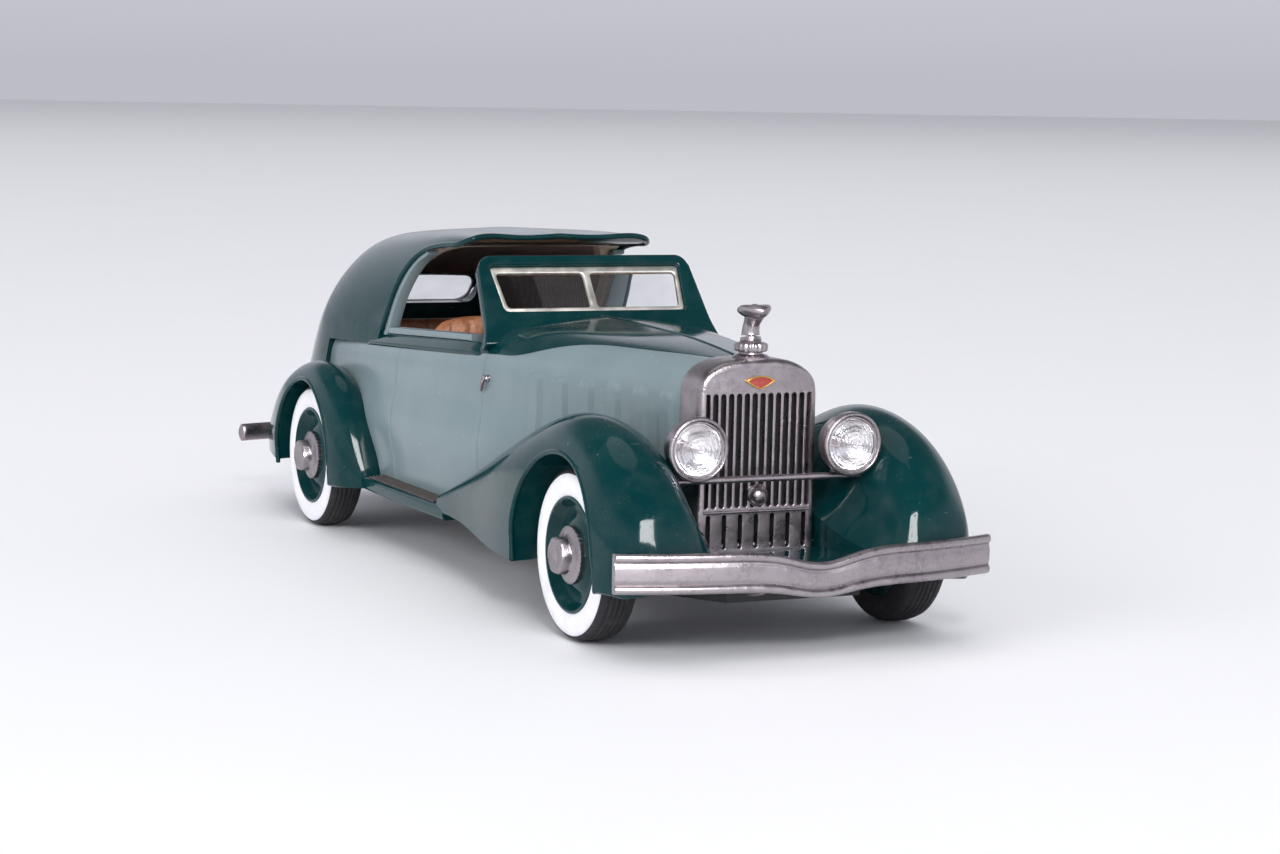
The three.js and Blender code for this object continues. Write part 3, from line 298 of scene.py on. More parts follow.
def tube(name, path, radius, sides=12, closed=False, squash=1.0):
    """Round rod along 3-D points in mm, with rounded ends; radius may be a list, one per point."""
    path = np.asarray(path, float)
    count = len(path)
    radii = np.full(count, float(radius)) if np.isscalar(radius) else np.asarray(radius, float)
    ahead = np.roll(path, -1, axis=0) - np.roll(path, 1, axis=0)
    if not closed:
        ahead = np.gradient(path, axis=0)
    ahead /= np.linalg.norm(ahead, axis=1)[:, None]
    side = np.cross(ahead, (0, 0, 1))
    weak = np.linalg.norm(side, axis=1) < 0.1
    side[weak] = np.cross(ahead[weak], (0, 1, 0))
    side /= np.linalg.norm(side, axis=1)[:, None]
    up = np.cross(side, ahead)
    angles = np.linspace(0, FULL_TURN, sides, endpoint=False)
    cos, sin = np.cos(angles)[None, :, None], squash * np.sin(angles)[None, :, None]
    wheel = cos * side[:, None] + sin * up[:, None]
    rows = path[:, None] + radii[:, None, None] * wheel
    if closed:
        return skin(name, rows, loop=True)
    nose = [path[0] - ahead[0] * radii[0] * 0.3 + (rows[0] - path[0]) * 0.7]
    tail = [path[-1] + ahead[-1] * radii[-1] * 0.3 + (rows[-1] - path[-1]) * 0.7]
    return skin(name, np.concatenate([nose, rows, tail]))


def lay(rows, height):
    """Rows of surface points raised outwards by height(rows), for relief on a section's half."""
    along, across = np.gradient(rows, axis=0), np.gradient(rows, axis=1)
    normal = np.cross(along, across)
    normal /= np.maximum(np.linalg.norm(normal, axis=2), 1e-9)[..., None]
    outward = np.sign((normal[..., 0] * (rows[..., 0] + 0.01)).sum())
    return rows + outward * normal * height(rows)[..., None]


def both_sides(half_rows):
    """Closed rings from half sections that run from the top centre down the left side."""
    right = half_rows[:, 1:][:, ::-1] * (-1, 1, 1)
    return np.concatenate([half_rows, right], axis=1)


def at_station(outline, s):
    """An outline of (x, z) points stood up at a station."""
    return np.insert(np.asarray(outline, float), 1, s, axis=1)


def loft(name, half, stations, count, inset=0.0):
    """Closed skin over the sections that half(station, count, inset) gives."""
    return skin(name, both_sides(np.array([half(s, count, inset) for s in stations])))


# ---------------------------------------------------------------- materials
def add_node(tree, kind, inputs=None, **settings):
    """A shader node with its settings, and each input either linked or given a value."""
    made = tree.nodes.new(kind)
    for key, value in settings.items():
        setattr(made, key, value)
    for key, value in (inputs or {}).items():
        if isinstance(value, bpy.types.NodeSocket):
            tree.links.new(value, made.inputs[key])
        else:
            made.inputs[key].default_value = value
    return made


class Paintbox:
    """A material with a Principled shader and short calls for its nodes."""

    def __init__(self, name, **sockets):
        self.material = bpy.data.materials.new(name)
        self.material.use_nodes = True
        self.tree = self.material.node_tree
        self.shader = self.tree.nodes["Principled BSDF"]
        self.place = self.node("ShaderNodeTexCoord").outputs["Object"]
        for socket, value in sockets.items():
            self.shader.inputs[socket.replace("_", " ")].default_value = value

    def node(self, kind, inputs=None, **settings):
        return add_node(self.tree, kind, inputs, **settings)

    def noise(self, size, detail=3.0, rough=0.5, place=None):
        """Cloudy noise whose features are about size mm across."""
        inputs = {"Vector": place or self.place, "Scale": GRAIN / size, "Detail": detail, "Roughness": rough}
        return self.node("ShaderNodeTexNoise", inputs).outputs["Fac"]

    def cells(self, size, feature="F1", place=None):
        inputs = {"Vector": place or self.place, "Scale": GRAIN / size}
        return self.node("ShaderNodeTexVoronoi", inputs, feature=feature).outputs["Distance"]

    def stretched(self, scale):
        return self.node("ShaderNodeMapping", {"Vector": self.place, "Scale": scale}).outputs["Vector"]

    def remap(self, value, low, high, start=0.0, end=1.0):
        inputs = {"Value": value, "From Min": low, "From Max": high, "To Min": start, "To Max": end}
        return self.node("ShaderNodeMapRange", inputs, clamp=True).outputs["Result"]

    def maths(self, operation, a, b):
        return self.node("ShaderNodeMath", {0: a, 1: b}, operation=operation).outputs[0]

    def mix(self, share, a, b):
        inputs = {0: share, 6: a, 7: b}
        return self.node("ShaderNodeMix", inputs, data_type="RGBA").outputs[2]

    def bump(self, height, depth, normal=None):
        """Bump of a height from 0 to 1 that stands for depth mm."""
        inputs = {"Height": height, "Distance": depth * MM, "Strength": 1.0}
        if normal:
            inputs["Normal"] = normal
        return self.node("ShaderNodeBump", inputs).outputs["Normal"]

    def facing_up(self):
        normal = self.node("ShaderNodeNewGeometry").outputs["Normal"]
        return self.node("ShaderNodeSeparateXYZ", {0: normal}).outputs["Z"]

    def wire(self, value, socket):
        self.tree.links.new(value, self.shader.inputs[socket])
        return self


def rgb(red, green, blue):
    """Linear colour from 0-255 display values."""
    levels = [value / 255 for value in (red, green, blue)]
    linear = [v / 12.92 if v <= 0.04045 else ((v + 0.055) / 1.055) ** 2.4 for v in levels]
    return (*linear, 1.0)


def enamel(name, colour, shade, dust, dust_amount, roughness=0.1):
    """Thick gloss enamel over a casting: slight orange peel, dust specks and hairline scratches."""
    paint = Paintbox(name, IOR=1.28, Coat_Weight=0.08, Coat_Roughness=0.03)
    base = paint.mix(paint.remap(paint.noise(9.0), 0.35, 0.65), colour, shade)
    upward = paint.remap(paint.facing_up(), -0.1, 0.9)
    speck = paint.remap(paint.noise(0.22, detail=1.0), 0.70, 0.76)
    patch = paint.remap(paint.noise(5.0), 0.45, 0.7)
    settled = paint.maths("MULTIPLY", paint.maths("MULTIPLY", speck, patch), upward)
    haze = paint.maths("MULTIPLY", paint.remap(paint.noise(2.5, detail=6.0), 0.45, 0.8), 0.10)
    streak = paint.noise(0.35, detail=1.0, place=paint.stretched((0.08, 0.6, 1.0)))
    scratch = paint.maths("MULTIPLY", paint.remap(streak, 0.76, 0.79), 0.35)
    soiled = paint.maths("MAXIMUM", paint.maths("MULTIPLY", settled, dust_amount), scratch)
    soiled = paint.maths("ADD", soiled, paint.maths("MULTIPLY", haze, dust_amount))
    paint.wire(paint.mix(soiled, base, dust), "Base Color")
    rough = paint.remap(paint.noise(4.0, detail=5.0), 0.3, 0.7, roughness, roughness + 0.08)
    paint.wire(paint.maths("ADD", rough, paint.maths("MULTIPLY", soiled, 0.4)), "Roughness")
    peel = paint.bump(paint.noise(1.6, detail=2.0), 0.006)
    paint.wire(paint.bump(speck, 0.012, peel), "Normal")
    return paint.material


def nickel(name, colour, dark, roughness, pits=0.02):
    """Old nickel plate on a casting: cloudy, finely pitted, darker in blotches."""
    metal = Paintbox(name, Metallic=1.0)
    blotch = metal.remap(metal.noise(3.0, detail=6.0, rough=0.65), 0.42, 0.72)
    grain = metal.remap(metal.noise(0.35, detail=3.0), 0.35, 0.75)
    metal.wire(metal.mix(metal.maths("MULTIPLY", blotch, grain), colour, dark), "Base Color")
    metal.wire(metal.remap(metal.noise(1.2, detail=6.0), 0.3, 0.75, roughness, roughness + 0.2), "Roughness")
    pitting = metal.remap(metal.cells(0.22), 0.0, 0.45)
    relief = metal.maths("ADD", metal.noise(0.5, detail=4.0), metal.maths("MULTIPLY", pitting, 0.5))
    metal.wire(metal.bump(relief, pits), "Normal")
    return metal.material


def rubber(name, colour, worn, roughness):
    compound = Paintbox(name)
    scuff = compound.remap(compound.noise(1.5, detail=6.0, rough=0.7), 0.5, 0.8)
    compound.wire(compound.mix(scuff, colour, worn), "Base Color")
    compound.wire(compound.remap(compound.noise(0.6), 0.3, 0.7, roughness, roughness + 0.15), "Roughness")
    compound.wire(compound.bump(compound.noise(0.3, detail=4.0), 0.012), "Normal")
    return compound.material


def leather(name, colour, crease):
    hide = Paintbox(name, Specular_IOR_Level=0.4)
    grain = hide.cells(0.35, feature="SMOOTH_F1")
    tone = hide.remap(hide.noise(2.2, detail=5.0), 0.3, 0.7)
    crack = hide.remap(grain, 0.0, 0.5)
    mixed = hide.mix(hide.maths("MULTIPLY", tone, crack), crease, colour)
    hide.wire(mixed, "Base Color")
    hide.wire(hide.remap(hide.noise(1.0), 0.3, 0.7, 0.42, 0.6), "Roughness")
    fine = hide.bump(grain, 0.03)
    hide.wire(hide.bump(hide.noise(1.6, detail=5.0), 0.05, fine), "Normal")
    return hide.material


def cloth(name, colour, thread):
    """Flat woven headlining or carpet: crossed threads about 0.2 mm apart."""
    weave = Paintbox(name, Sheen_Weight=0.3)
    waves = []
    for direction in ("X", "Y"):
        inputs = {"Vector": weave.place, "Scale": 0.8 * GRAIN, "Distortion": 0.6}
        wave = weave.node("ShaderNodeTexWave", inputs, bands_direction=direction)
        waves.append(wave.outputs["Fac"])
    height = weave.maths("MULTIPLY", *waves)
    weave.wire(weave.mix(weave.noise(1.8, detail=5.0), colour, thread), "Base Color")
    weave.wire(weave.remap(weave.noise(0.5), 0.3, 0.7, 0.8, 0.95), "Roughness")
    weave.wire(weave.bump(height, 0.03), "Normal")
    return weave.material


def clear_glass(name, tint, roughness=0.02, ripple=0.0):
    glass = Paintbox(name, Transmission_Weight=1.0, IOR=1.45, Alpha=1.0)
    glass.wire(glass.mix(glass.remap(glass.noise(6.0), 0.3, 0.8), tint, rgb(226, 228, 232)), "Base Color")
    smear = glass.remap(glass.noise(3.0, detail=6.0), 0.5, 0.8, roughness, roughness + 0.08)
    glass.wire(smear, "Roughness")
    if ripple:
        glass.wire(glass.bump(glass.noise(0.8, detail=2.0), ripple), "Normal")
    return glass.material


def red_enamel(name):
    """Hard enamel: red fill with a slightly mottled surface."""
    fill = Paintbox(name, Coat_Weight=1.0, Coat_Roughness=0.03)
    fill.wire(fill.mix(fill.noise(0.5, detail=4.0), rgb(150, 24, 24), rgb(196, 62, 38)), "Base Color")
    fill.wire(fill.remap(fill.noise(0.3), 0.3, 0.7, 0.2, 0.35), "Roughness")
    fill.wire(fill.bump(fill.noise(0.4), 0.01), "Normal")
    return fill.material


PALE = enamel("pale_enamel", rgb(129, 145, 148), rgb(123, 139, 143), rgb(170, 178, 182), 0.35, 0.14)
DARK = enamel("dark_enamel", rgb(4, 55, 57), rgb(2, 50, 53), rgb(110, 125, 120), 0.8, 0.06)
NICKEL = nickel("worn_nickel", rgb(165, 157, 161), rgb(114, 105, 108), 0.24)
BRIGHT = nickel("bright_nickel", rgb(216, 208, 209), rgb(176, 167, 169), 0.16, 0.006)
CREAM = nickel("cream_nickel", rgb(240, 236, 226), rgb(208, 202, 192), 0.3, 0.006)
MIRROR = nickel("lamp_reflector", rgb(250, 246, 246), rgb(226, 220, 220), 0.05, 0.004)
STEEL = nickel("plain_steel", rgb(186, 186, 190), rgb(140, 138, 138), 0.25, 0.01)
GILT = nickel("gilt_edge", rgb(214, 172, 92), rgb(160, 120, 60), 0.30, 0.006)
BLACK = rubber("satin_black", rgb(24, 25, 28), rgb(40, 41, 44), 0.45)
TYRE = rubber("tyre_rubber", rgb(30, 30, 34), rgb(58, 56, 58), 0.62)
MAT = rubber("dusty_mat", rgb(74, 68, 66), rgb(104, 96, 92), 0.7)
WHITE = rubber("white_rubber", rgb(243, 242, 246), rgb(226, 224, 226), 0.45)
LEATHER = leather("tan_leather", rgb(220, 154, 110), rgb(164, 102, 68))
LINING = cloth("brown_headlining", rgb(74, 48, 38), rgb(98, 66, 50))
CARPET = cloth("brown_carpet", rgb(58, 38, 32), rgb(80, 54, 44))
TRIM = leather("cream_trim", rgb(196, 186, 170), rgb(160, 148, 134))
GLASS = clear_glass("window_glass", rgb(250, 250, 252))
LENS = clear_glass("lens_glass", rgb(252, 252, 253), 0.0, ripple=0.006)
RED = enamel("red_glass", rgb(110, 10, 12), rgb(84, 6, 8), rgb(150, 90, 90), 0.2, 0.06)
ENAMEL = red_enamel("red_hard_enamel")


# ---------------------------------------------------------------- putting pieces in place
def piece(obj, material, nodes=(), body="body", sharp=32):
    """Smooth-shades a finished piece, gives it its material, and rides it on its body."""
    obj.data.materials.clear()
    obj.data.materials.append(material)
    obj.data.polygons.foreach_set("use_smooth", [True] * len(obj.data.polygons))
    obj.data.set_sharp_from_angle(angle=math.radians(sharp))
    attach(obj, body)
    if nodes:
        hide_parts(*nodes)
    return obj


def pair(obj, name, material, node="", body="body", sharp=32):
    """A left piece and its mirror image; node is the CAD nodes' common name, if it stands for one."""
    for copy, side in ((obj, "left"), (mirrored(obj, f"{name}_right"), "right")):
        copy.name = f"{name}_{side}"
        nodes = (f"{node}_{side}",) if node else ()
        piece(copy, material, nodes, body, sharp)


# ---------------------------------------------------------------- body lines, as in the CAD part
BODY_STATIONS = (2, 12, 24, 36, 50, 70, 88)


def along_body(*values):
    return spline(list(zip(BODY_STATIONS, values)))


hood_height = along_body(28.6, 29.5, 29.9, 30.0, 29.0, 27.8, 26.0)
shoulder_x = along_body(6.6, 8.9, 11.9, 14.1, 15.1, 15.3, 14.7)
shoulder_z = along_body(25.8, 26.1, 26.2, 26.3, 25.4, 24.3, 23.0)
waist_x = along_body(7.0, 9.6, 12.9, 15.4, 16.6, 16.9, 16.1)
lower_x = along_body(6.9, 9.4, 12.4, 14.7, 15.7, 15.9, 15.0)


def body_half(s, count, inset=0.0):
    """Half section of the hood and doors as points (x, station, z), top centre to sill."""
    top, sx, sz = hood_height(s) - inset, shoulder_x(s) - inset, shoulder_z(s) - inset * 0.5
    wx, lx = waist_x(s) - inset, lower_x(s) - inset
    line = smooth_line(
        [
            (0, top),
            (0.5 * sx, top - 0.14 * (top - sz)),
            (0.86 * sx, top - 0.5 * (top - sz)),
            (sx, sz),
            (0.45 * sx + 0.55 * wx, 0.5 * (sz + WAIST_Z)),
            (wx, WAIST_Z),
            (0.3 * wx + 0.7 * lx, 10.4),
            (lx, FLOOR_Z),
        ],
        count,
    )
    return at_station(line, s)


TAIL_SECTIONS = (
    # station, roof z, shoulder x z, quarter x z, belt x z, waist x, sill x z
    (48, 38.6, 12.0, 37.8, 13.5, 34.2, 15.0, 25.6, 16.6, 15.7, 7.0),
    (56, 38.8, 12.2, 37.7, 14.1, 33.5, 15.2, 25.2, 16.7, 15.8, 7.0),
    (66, 38.7, 12.0, 37.1, 14.4, 32.8, 15.4, 24.6, 16.9, 15.9, 7.0),
    (76, 38.0, 11.6, 36.3, 14.4, 31.7, 15.7, 23.9, 16.9, 15.7, 7.0),
    (84, 37.1, 11.3, 35.1, 14.3, 30.5, 15.7, 23.2, 16.7, 15.2, 7.0),
    (90, 35.3, 10.9, 33.2, 14.0, 29.0, 15.5, 22.4, 16.2, 14.6, 7.0),
    (94.5, 32.9, 10.3, 31.0, 13.4, 27.4, 15.0, 21.5, 15.6, 13.8, 7.0),
    (98, 29.8, 9.6, 28.3, 12.6, 25.4, 14.2, 20.5, 14.8, 12.9, 7.0),
    (101.5, 26.0, 8.7, 24.9, 11.6, 22.7, 13.1, 19.0, 13.7, 11.8, 7.2),
    (105, 21.6, 7.5, 20.9, 10.1, 19.4, 11.5, 17.0, 12.0, 10.2, 7.6),
    (107.4, 17.8, 5.8, 17.3, 7.9, 16.5, 9.0, 15.1, 9.4, 7.8, 8.4),
    (108.4, 15.1, 4.0, 14.8, 5.4, 14.4, 6.2, 13.6, 6.5, 5.0, 9.6),
)
TAIL_END = TAIL_SECTIONS[-1][0]
tail_lines = [spline([(row[0], row[k]) for row in TAIL_SECTIONS]) for k in range(1, 11)]


def tail_half(s, count, inset=0.0):
    """Half section of roof, quarter and tail, top centre to sill."""
    top, x2, z2, x3, z3, x4, z4, x5, x7, z7 = (line(s) for line in tail_lines)
    inward = min(inset, x5 * 0.5)
    waist = min(WAIST_Z, z4 - 2.5)
    line = smooth_line(
        [
            (0, top - inward),
            (0.52 * (x2 - inward), top - inward - 0.16 * (top - z2)),
            (x2 - inward, z2 - inward * 0.8),
            (x3 - inward, z3 - inward * 0.4),
            (x4 - inward, z4),
            (x5 - inward, waist),
            (0.3 * x5 + 0.7 * x7 - inward, 0.4 * waist + 0.6 * z7),
            (x7 - inward, z7),
        ],
        count,
    )
    return at_station(line, s)


BELT = {"station": 34, "z": 26.1, "slope": 0.055, "height": 1.25}


def belt_z(s):
    """Foot of the belt moulding, which falls gently towards the tail."""
    return BELT["z"] - BELT["slope"] * (s - BELT["station"])


def sill_z(s):
    """Top of the belt moulding, which is the windows' sill."""
    return belt_z(s) + BELT["height"]


def side_x(half, s, z, count=160):
    """Half-width of a section at a height, on its side."""
    line = half(s, count)[count // 3 :]
    return float(np.interp(-z, -line[:, 2], line[:, 0]))


WELL = {"inner": 14.9, "outer": 20.5, "radius": 9.9}


def wheel_well(station, sides=(1, -1)):
    """Drums that clear the wheels at a station, one for each side of the car."""
    radius = WELL["radius"]
    drum = [(0, WELL["inner"]), (radius, WELL["inner"]), (radius, WELL["outer"]), (0, WELL["outer"])]
    wells = []
    for side in sides:
        profile = [(r, side * x) for r, x in drum]
        wells.append(turned("well", profile, (0, station, AXLE_Z), sides=64))
    return wells


# ---------------------------------------------------------------- body casting
LOUVRES = {"count": 6, "first": 3.9, "pitch": 4.4, "half": 1.25, "low": 17.0, "high": 25.0}
LOUVRE_RISE = 0.46
SHUT_LINES = (36.6, 61.2)


def body_relief(rows):
    """Raised louvres on the hood side and engraved door shut lines."""
    s, z = rows[..., 1], rows[..., 2]
    relief = np.zeros(s.shape)
    middle, tall = (LOUVRES["low"] + LOUVRES["high"]) / 2, (LOUVRES["high"] - LOUVRES["low"]) / 2
    corner = 0.9
    for i in range(LOUVRES["count"]):
        across = np.abs(s - LOUVRES["first"] - LOUVRES["pitch"] * i) - (LOUVRES["half"] - corner)
        above = np.abs(z - middle) - (tall - corner)
        outside = np.hypot(np.maximum(across, 0), np.maximum(above, 0))
        distance = outside + np.minimum(np.maximum(across, above), 0) - corner
        relief += LOUVRE_RISE * ease(-distance / 0.5)
    for station in SHUT_LINES:
        below_belt = ease((belt_z(s) - z) / 0.3) * ease((z - 8.5) / 0.5)
        relief -= 0.15 * np.exp(-(((s - station) / 0.11) ** 2)) * below_belt
    front_edge = ease((HOOD_STATION + 0.5 - s) / 0.5)
    return relief - 0.2 * front_edge * front_edge


def body_stations():
    """Close together over the louvres and the shut lines, wider elsewhere."""
    coarse = list(np.arange(HOOD_STATION - 0.3, 30.0, 0.22)) + list(np.arange(30.0, SEAM_STATION, 0.9))
    fine = [station + step for station in SHUT_LINES for step in np.linspace(-0.3, 0.3, 9)]
    kept = [s for s in coarse if all(abs(s - station) > 0.35 for station in SHUT_LINES)]
    return sorted(kept + fine + [SEAM_STATION])


def make_body():
    rows = lay(np.array([body_half(s, 110) for s in body_stations()]), body_relief)
    body = skin("body_casting", both_sides(rows))
    cabin_wide = rounded(CABIN_HALF_WIDTH, (SEAM_STATION - CABIN_FRONT) / 2 + 1, 1.0)
    middle = (SEAM_STATION + CABIN_FRONT) / 2 + 1
    cabin = prism("cabin", [(x, y + middle) for x, y in cabin_wide], "z", -1, 45)
    ends = (CABIN_FRONT, SEAM_STATION + 1)
    window = [(ends[0], 45), (ends[0], belt_z(ends[0])), (ends[1], belt_z(ends[1])), (ends[1], 45)]
    above_belt = prism("above", window, "x", -BEYOND, BEYOND)
    carve(body, [cabin, above_belt, *wheel_well(WHEELBASE)])
    piece(body, PALE, ("body_shell",))


# Where the dark spear on the hood top ends: (station, half-width) while it crosses the top.
SPEAR = ((1.8, 1.6), (6, 3.7), (11.5, 6.0), (19, 8.3), (24.5, 10.7))


def make_cowl_paint():
    """The second colour on the hood: a dark spear that widens into the cowl, a coat thicker."""
    count = 240
    keys = []
    for s, half in SPEAR:
        line = body_half(s, count)
        keys.append((s, float(np.interp(half, line[:100, 0], np.arange(100)))))
    for s in (31.0, 34.0, 37.0, CABIN_FRONT):
        line = body_half(s, count)
        keys.append((s, float(np.interp(-belt_z(s), -line[:, 2], np.arange(count)))))
    edge = spline(keys)
    rows = []
    for s in np.linspace(SPEAR[0][0], CABIN_FRONT + 0.05, 120):
        at = np.linspace(0, edge(s), 60)
        line = body_half(s, count, -0.06)
        half = np.column_stack([np.interp(at, np.arange(count), line[:, k]) for k in range(3)])
        rows.append(np.concatenate([half[1:][::-1] * (-1, 1, 1), half]))
    coat = skin("cowl_paint", rows, ring=False, caps=False)
    modify(coat, "SOLIDIFY", thickness=0.12 * MM, offset=-1.0)
    piece(bake(coat), DARK)
    line = [(0, s, float(hood_height(s)) + 0.06) for s in np.linspace(1.8, CABIN_FRONT - 1.2, 60)]
    piece(tube("hood_hinge", line, 0.2, squash=0.6), DARK)


# ---------------------------------------------------------------- roof and tail casting
HOOP_EDGE = (
    (71, 10), (69.2, 26), (66.6, 30.4), (63.8, 34.0), (60.8, 36.0),
    (57.2, 36.9), (53.6, 37.3), (51.0, 37.6), (49.5, 38.2), (49.0, 39.6),
)
REAR_GLASS = {"half": 8.2, "z0": 26.9, "z1": 30.9, "radius": 1.7}
ROOF_WALL = 1.3


def hoop_line(inset, steps=90):
    """Front edge of the roof on the left side, from the sill to the roof's centre, as 3-D points."""
    edge = smooth_line(HOOP_EDGE[1:-1], steps)
    points = []
    for s, z in edge:
        line = tail_half(s, 200, inset)
        side = line[line[:, 2] <= z + 1e-9]
        if len(side) == 0 or z >= line[0, 2]:
            break
        points.append((float(np.interp(-z, -line[:, 2], line[:, 0])), s, z))
    front = points[-1][1]
    top = tail_half(front, 200, inset)
    across = [tuple(p) for p in top[::-1] if p[2] > points[-1][2] + 0.05]
    return np.array(points + across)


def rear_glass_outline(inset=0.0, steps=8):
    """The rear window's edge as (x, z) points."""
    low, high = REAR_GLASS["z0"], REAR_GLASS["z1"]
    half, tall = REAR_GLASS["half"] - inset, (high - low) / 2 - inset
    return rounded(half, tall, REAR_GLASS["radius"], steps, (0, (high + low) / 2))


def make_rear_window():
    """A pane that follows the tail's curve, and the gasket round it."""
    pane = loft("pane", tail_half, np.arange(84.0, 106.0, 0.6), 60, 0.35)
    carve(pane, [loft("core", tail_half, np.arange(83.0, 107.0, 0.6), 60, 0.95)])
    carve(pane, [prism("hole", rear_glass_outline(0.02), "y", 88, 110)], "INTERSECT")
    pane.name = "rear_window_pane"
    piece(pane, GLASS, ("rear_window_glass",))
    path = []
    for x, z in rear_glass_outline(steps=14):
        along = np.arange(90.0, 106.0, 0.1)
        reach = [side for side in along if roof_top(side, abs(x)) < z]
        path.append((x, reach[0] - 0.05, z))
    piece(tube("rear_window_gasket", path, 0.26, closed=True), NICKEL)


def make_roof():
    stations = [*np.arange(48.0, 100.0, 0.7), *np.arange(100.0, TAIL_END, 0.35), TAIL_END]
    outer = loft("roof_casting", tail_half, stations, 90)
    hollow = np.array([tail_half(s, 60, ROOF_WALL) for s in np.arange(44.0, 97.0, 1.0)])
    hollow[hollow[..., 2] < 8] -= (0, 0, 3)
    inner = skin("hollow", both_sides(hollow))
    edge = smooth_line(HOOP_EDGE[:-1], 120)
    ahead = prism("ahead", [(40, 9), *map(tuple, edge), (49.0, 45), (40, 45)], "x", -BEYOND, BEYOND)
    join_s = SEAM_STATION + 0.05
    sill = [(40, 0), (40, belt_z(40) + 0.05), (join_s, belt_z(join_s) + 0.05), (join_s, 0)]
    below = prism("below", sill, "x", -BEYOND, BEYOND)
    window = prism("window", rear_glass_outline(), "y", 80, 112)
    carve(outer, [inner, ahead, below, window, *wheel_well(WHEELBASE)])
    piece(outer, DARK, ("roof_shell",))
    make_rear_window()


def roof_top(s, x):
    """Height of the tail's surface over a half-width."""
    line = tail_half(s, 60)
    return float(np.interp(x, line[:24, 0], line[:24, 2]))


def make_hoop_trim():
    """Cream lining on the inner edge of the roof's opening, and the raised lip outside it."""
    outer, inner = hoop_line(0.12), hoop_line(ROOF_WALL + 0.55)
    count = min(len(outer), len(inner))
    lip = np.concatenate([outer, outer[::-1][1:] * (-1, 1, 1)])
    piece(tube("roof_lip", lip, 0.34), DARK)
    outer = outer[:count]
    inner = inner[:count]
    half = []
    for a, b in zip(outer, inner):
        start = a * 0.75 + b * 0.25
        half.append([start - (0, 0.28, 0), b - (0, 0.28, 0), b + (0, 1.9, 0.1), start + (0, 1.9, 0.1)])
    half = np.array(half)
    rows = np.concatenate([half, (half * (-1, 1, 1))[::-1]])
    strip = skin("hoop_lining", rows)
    piece(bevelled(strip, 0.12), TRIM)


def make_belt():
    """Painted belt moulding on top of the doors, rising out of the cowl and fading into the quarter."""
    start, end = 33.0, 78.0
    inside = 12.5
    rows = []
    for s in np.linspace(start, end, 80):
        sunk = 1 - float(ease((s - start) / (CABIN_FRONT + 0.6 - start)))
        sunk += 1 - float(ease((end - s) / 6.0))
        outside = side_x(body_half, s, belt_z(s) - 0.2) + 0.22 - 0.9 * sunk
        low, high = belt_z(s) - 0.3 - 1.0 * sunk, sill_z(s) - 2.4 * sunk
        corners = [(outside - 0.1, low), (outside, low + 0.5), (outside - 0.9, high)]
        corners += [(inside, high), (inside, low)]
        rows.append(at_station(round_corners(corners, 0.24), s))
    pair(skin("belt_moulding", rows), "belt_moulding", DARK)


def make_window_surround():
    """Pale reveal along the door top and up the front of the rear quarter."""
    s0, s1 = CABIN_FRONT + 2.0, 69.0
    edge = smooth_line(((s1, sill_z(s1)), (66.5, 30.2), (64.4, 32.9), (62.2, 34.9), (59.5, 36.0)), 40)
    rows = []
    for s in np.linspace(s0, s1 - 1.5, 24):
        z = sill_z(s)
        outside = side_x(tail_half, max(s, 48.0), z) - 0.35
        rows.append(at_station(rounded(0.9, 0.42, 0.25, 3, (outside - 1.0, z + 0.42)), s))
    ledge = skin("ledge", rows)
    rows = []
    for i, (s, z) in enumerate(edge):
        outside = side_x(tail_half, s, z) - 0.3
        width = 1.15 * (1 - 0.55 * i / len(edge))
        section = rounded(0.75, width / 2, 0.2, 3, (outside - 0.85, 0))
        lean = edge[min(i + 1, len(edge) - 1)] - edge[max(i - 1, 0)]
        lean = lean / np.linalg.norm(lean)
        reach = [(x, h + width / 2 - 0.2) for x, h in section]
        rows.append([(x, s - lean[1] * h, z + lean[0] * h) for x, h in reach])
    pillar = skin("pillar", rows)
    pair(join("door_top_reveal", [ledge, pillar]), "door_top_reveal", PALE, "window_surround")


# ---------------------------------------------------------------- fenders
FRONT_FENDER = {
    "from": -14.8,
    "to": 42.6,
    "crest_z": (
        (-14.8, 10.6), (-14, 13.2), (-12, 16.4), (-8, 19.8), (-3, 22.2), (2, 23), (7, 22.6),
        (13, 20.8), (20, 18.1), (28, 14.8), (36, 11.6), (42.6, 9.2),
    ),
    "crest_x": ((-14.8, 14.4), (-8, 15.5), (2, 16), (20, 16.4), (42.6, 17.3)),
    "outer_x": (
        (-14.8, 16.4), (-14, 18.3), (-12, 20.3), (-8, 21.4), (-3, 21.5), (2, 21.5),
        (13, 21.2), (20, 20.5), (28, 19.4), (36, 18.5), (42.6, 18.0),
    ),
    "outer_z": (
        (-14.8, 8.6), (-14, 7.2), (-12, 6.5), (-8, 6.4), (2, 6.3),
        (13, 6.2), (20, 6.2), (28, 6.7), (36, 7.2), (42.6, 7.0),
    ),
    "inner_x": (
        (-14.8, 12), (-14, 10.4), (-12, 9.2), (-8, 8.0), (2, 7.4),
        (12, 9.4), (24, 12.6), (36, 15), (42.6, 16),
    ),
    "inner_z": (
        (-14.8, 9.2), (-12, 9.4), (-8, 10.4), (-2, 12.4), (6, 13.6), (20, 13.0), (30, 10.6), (42.6, 8.4),
    ),
}
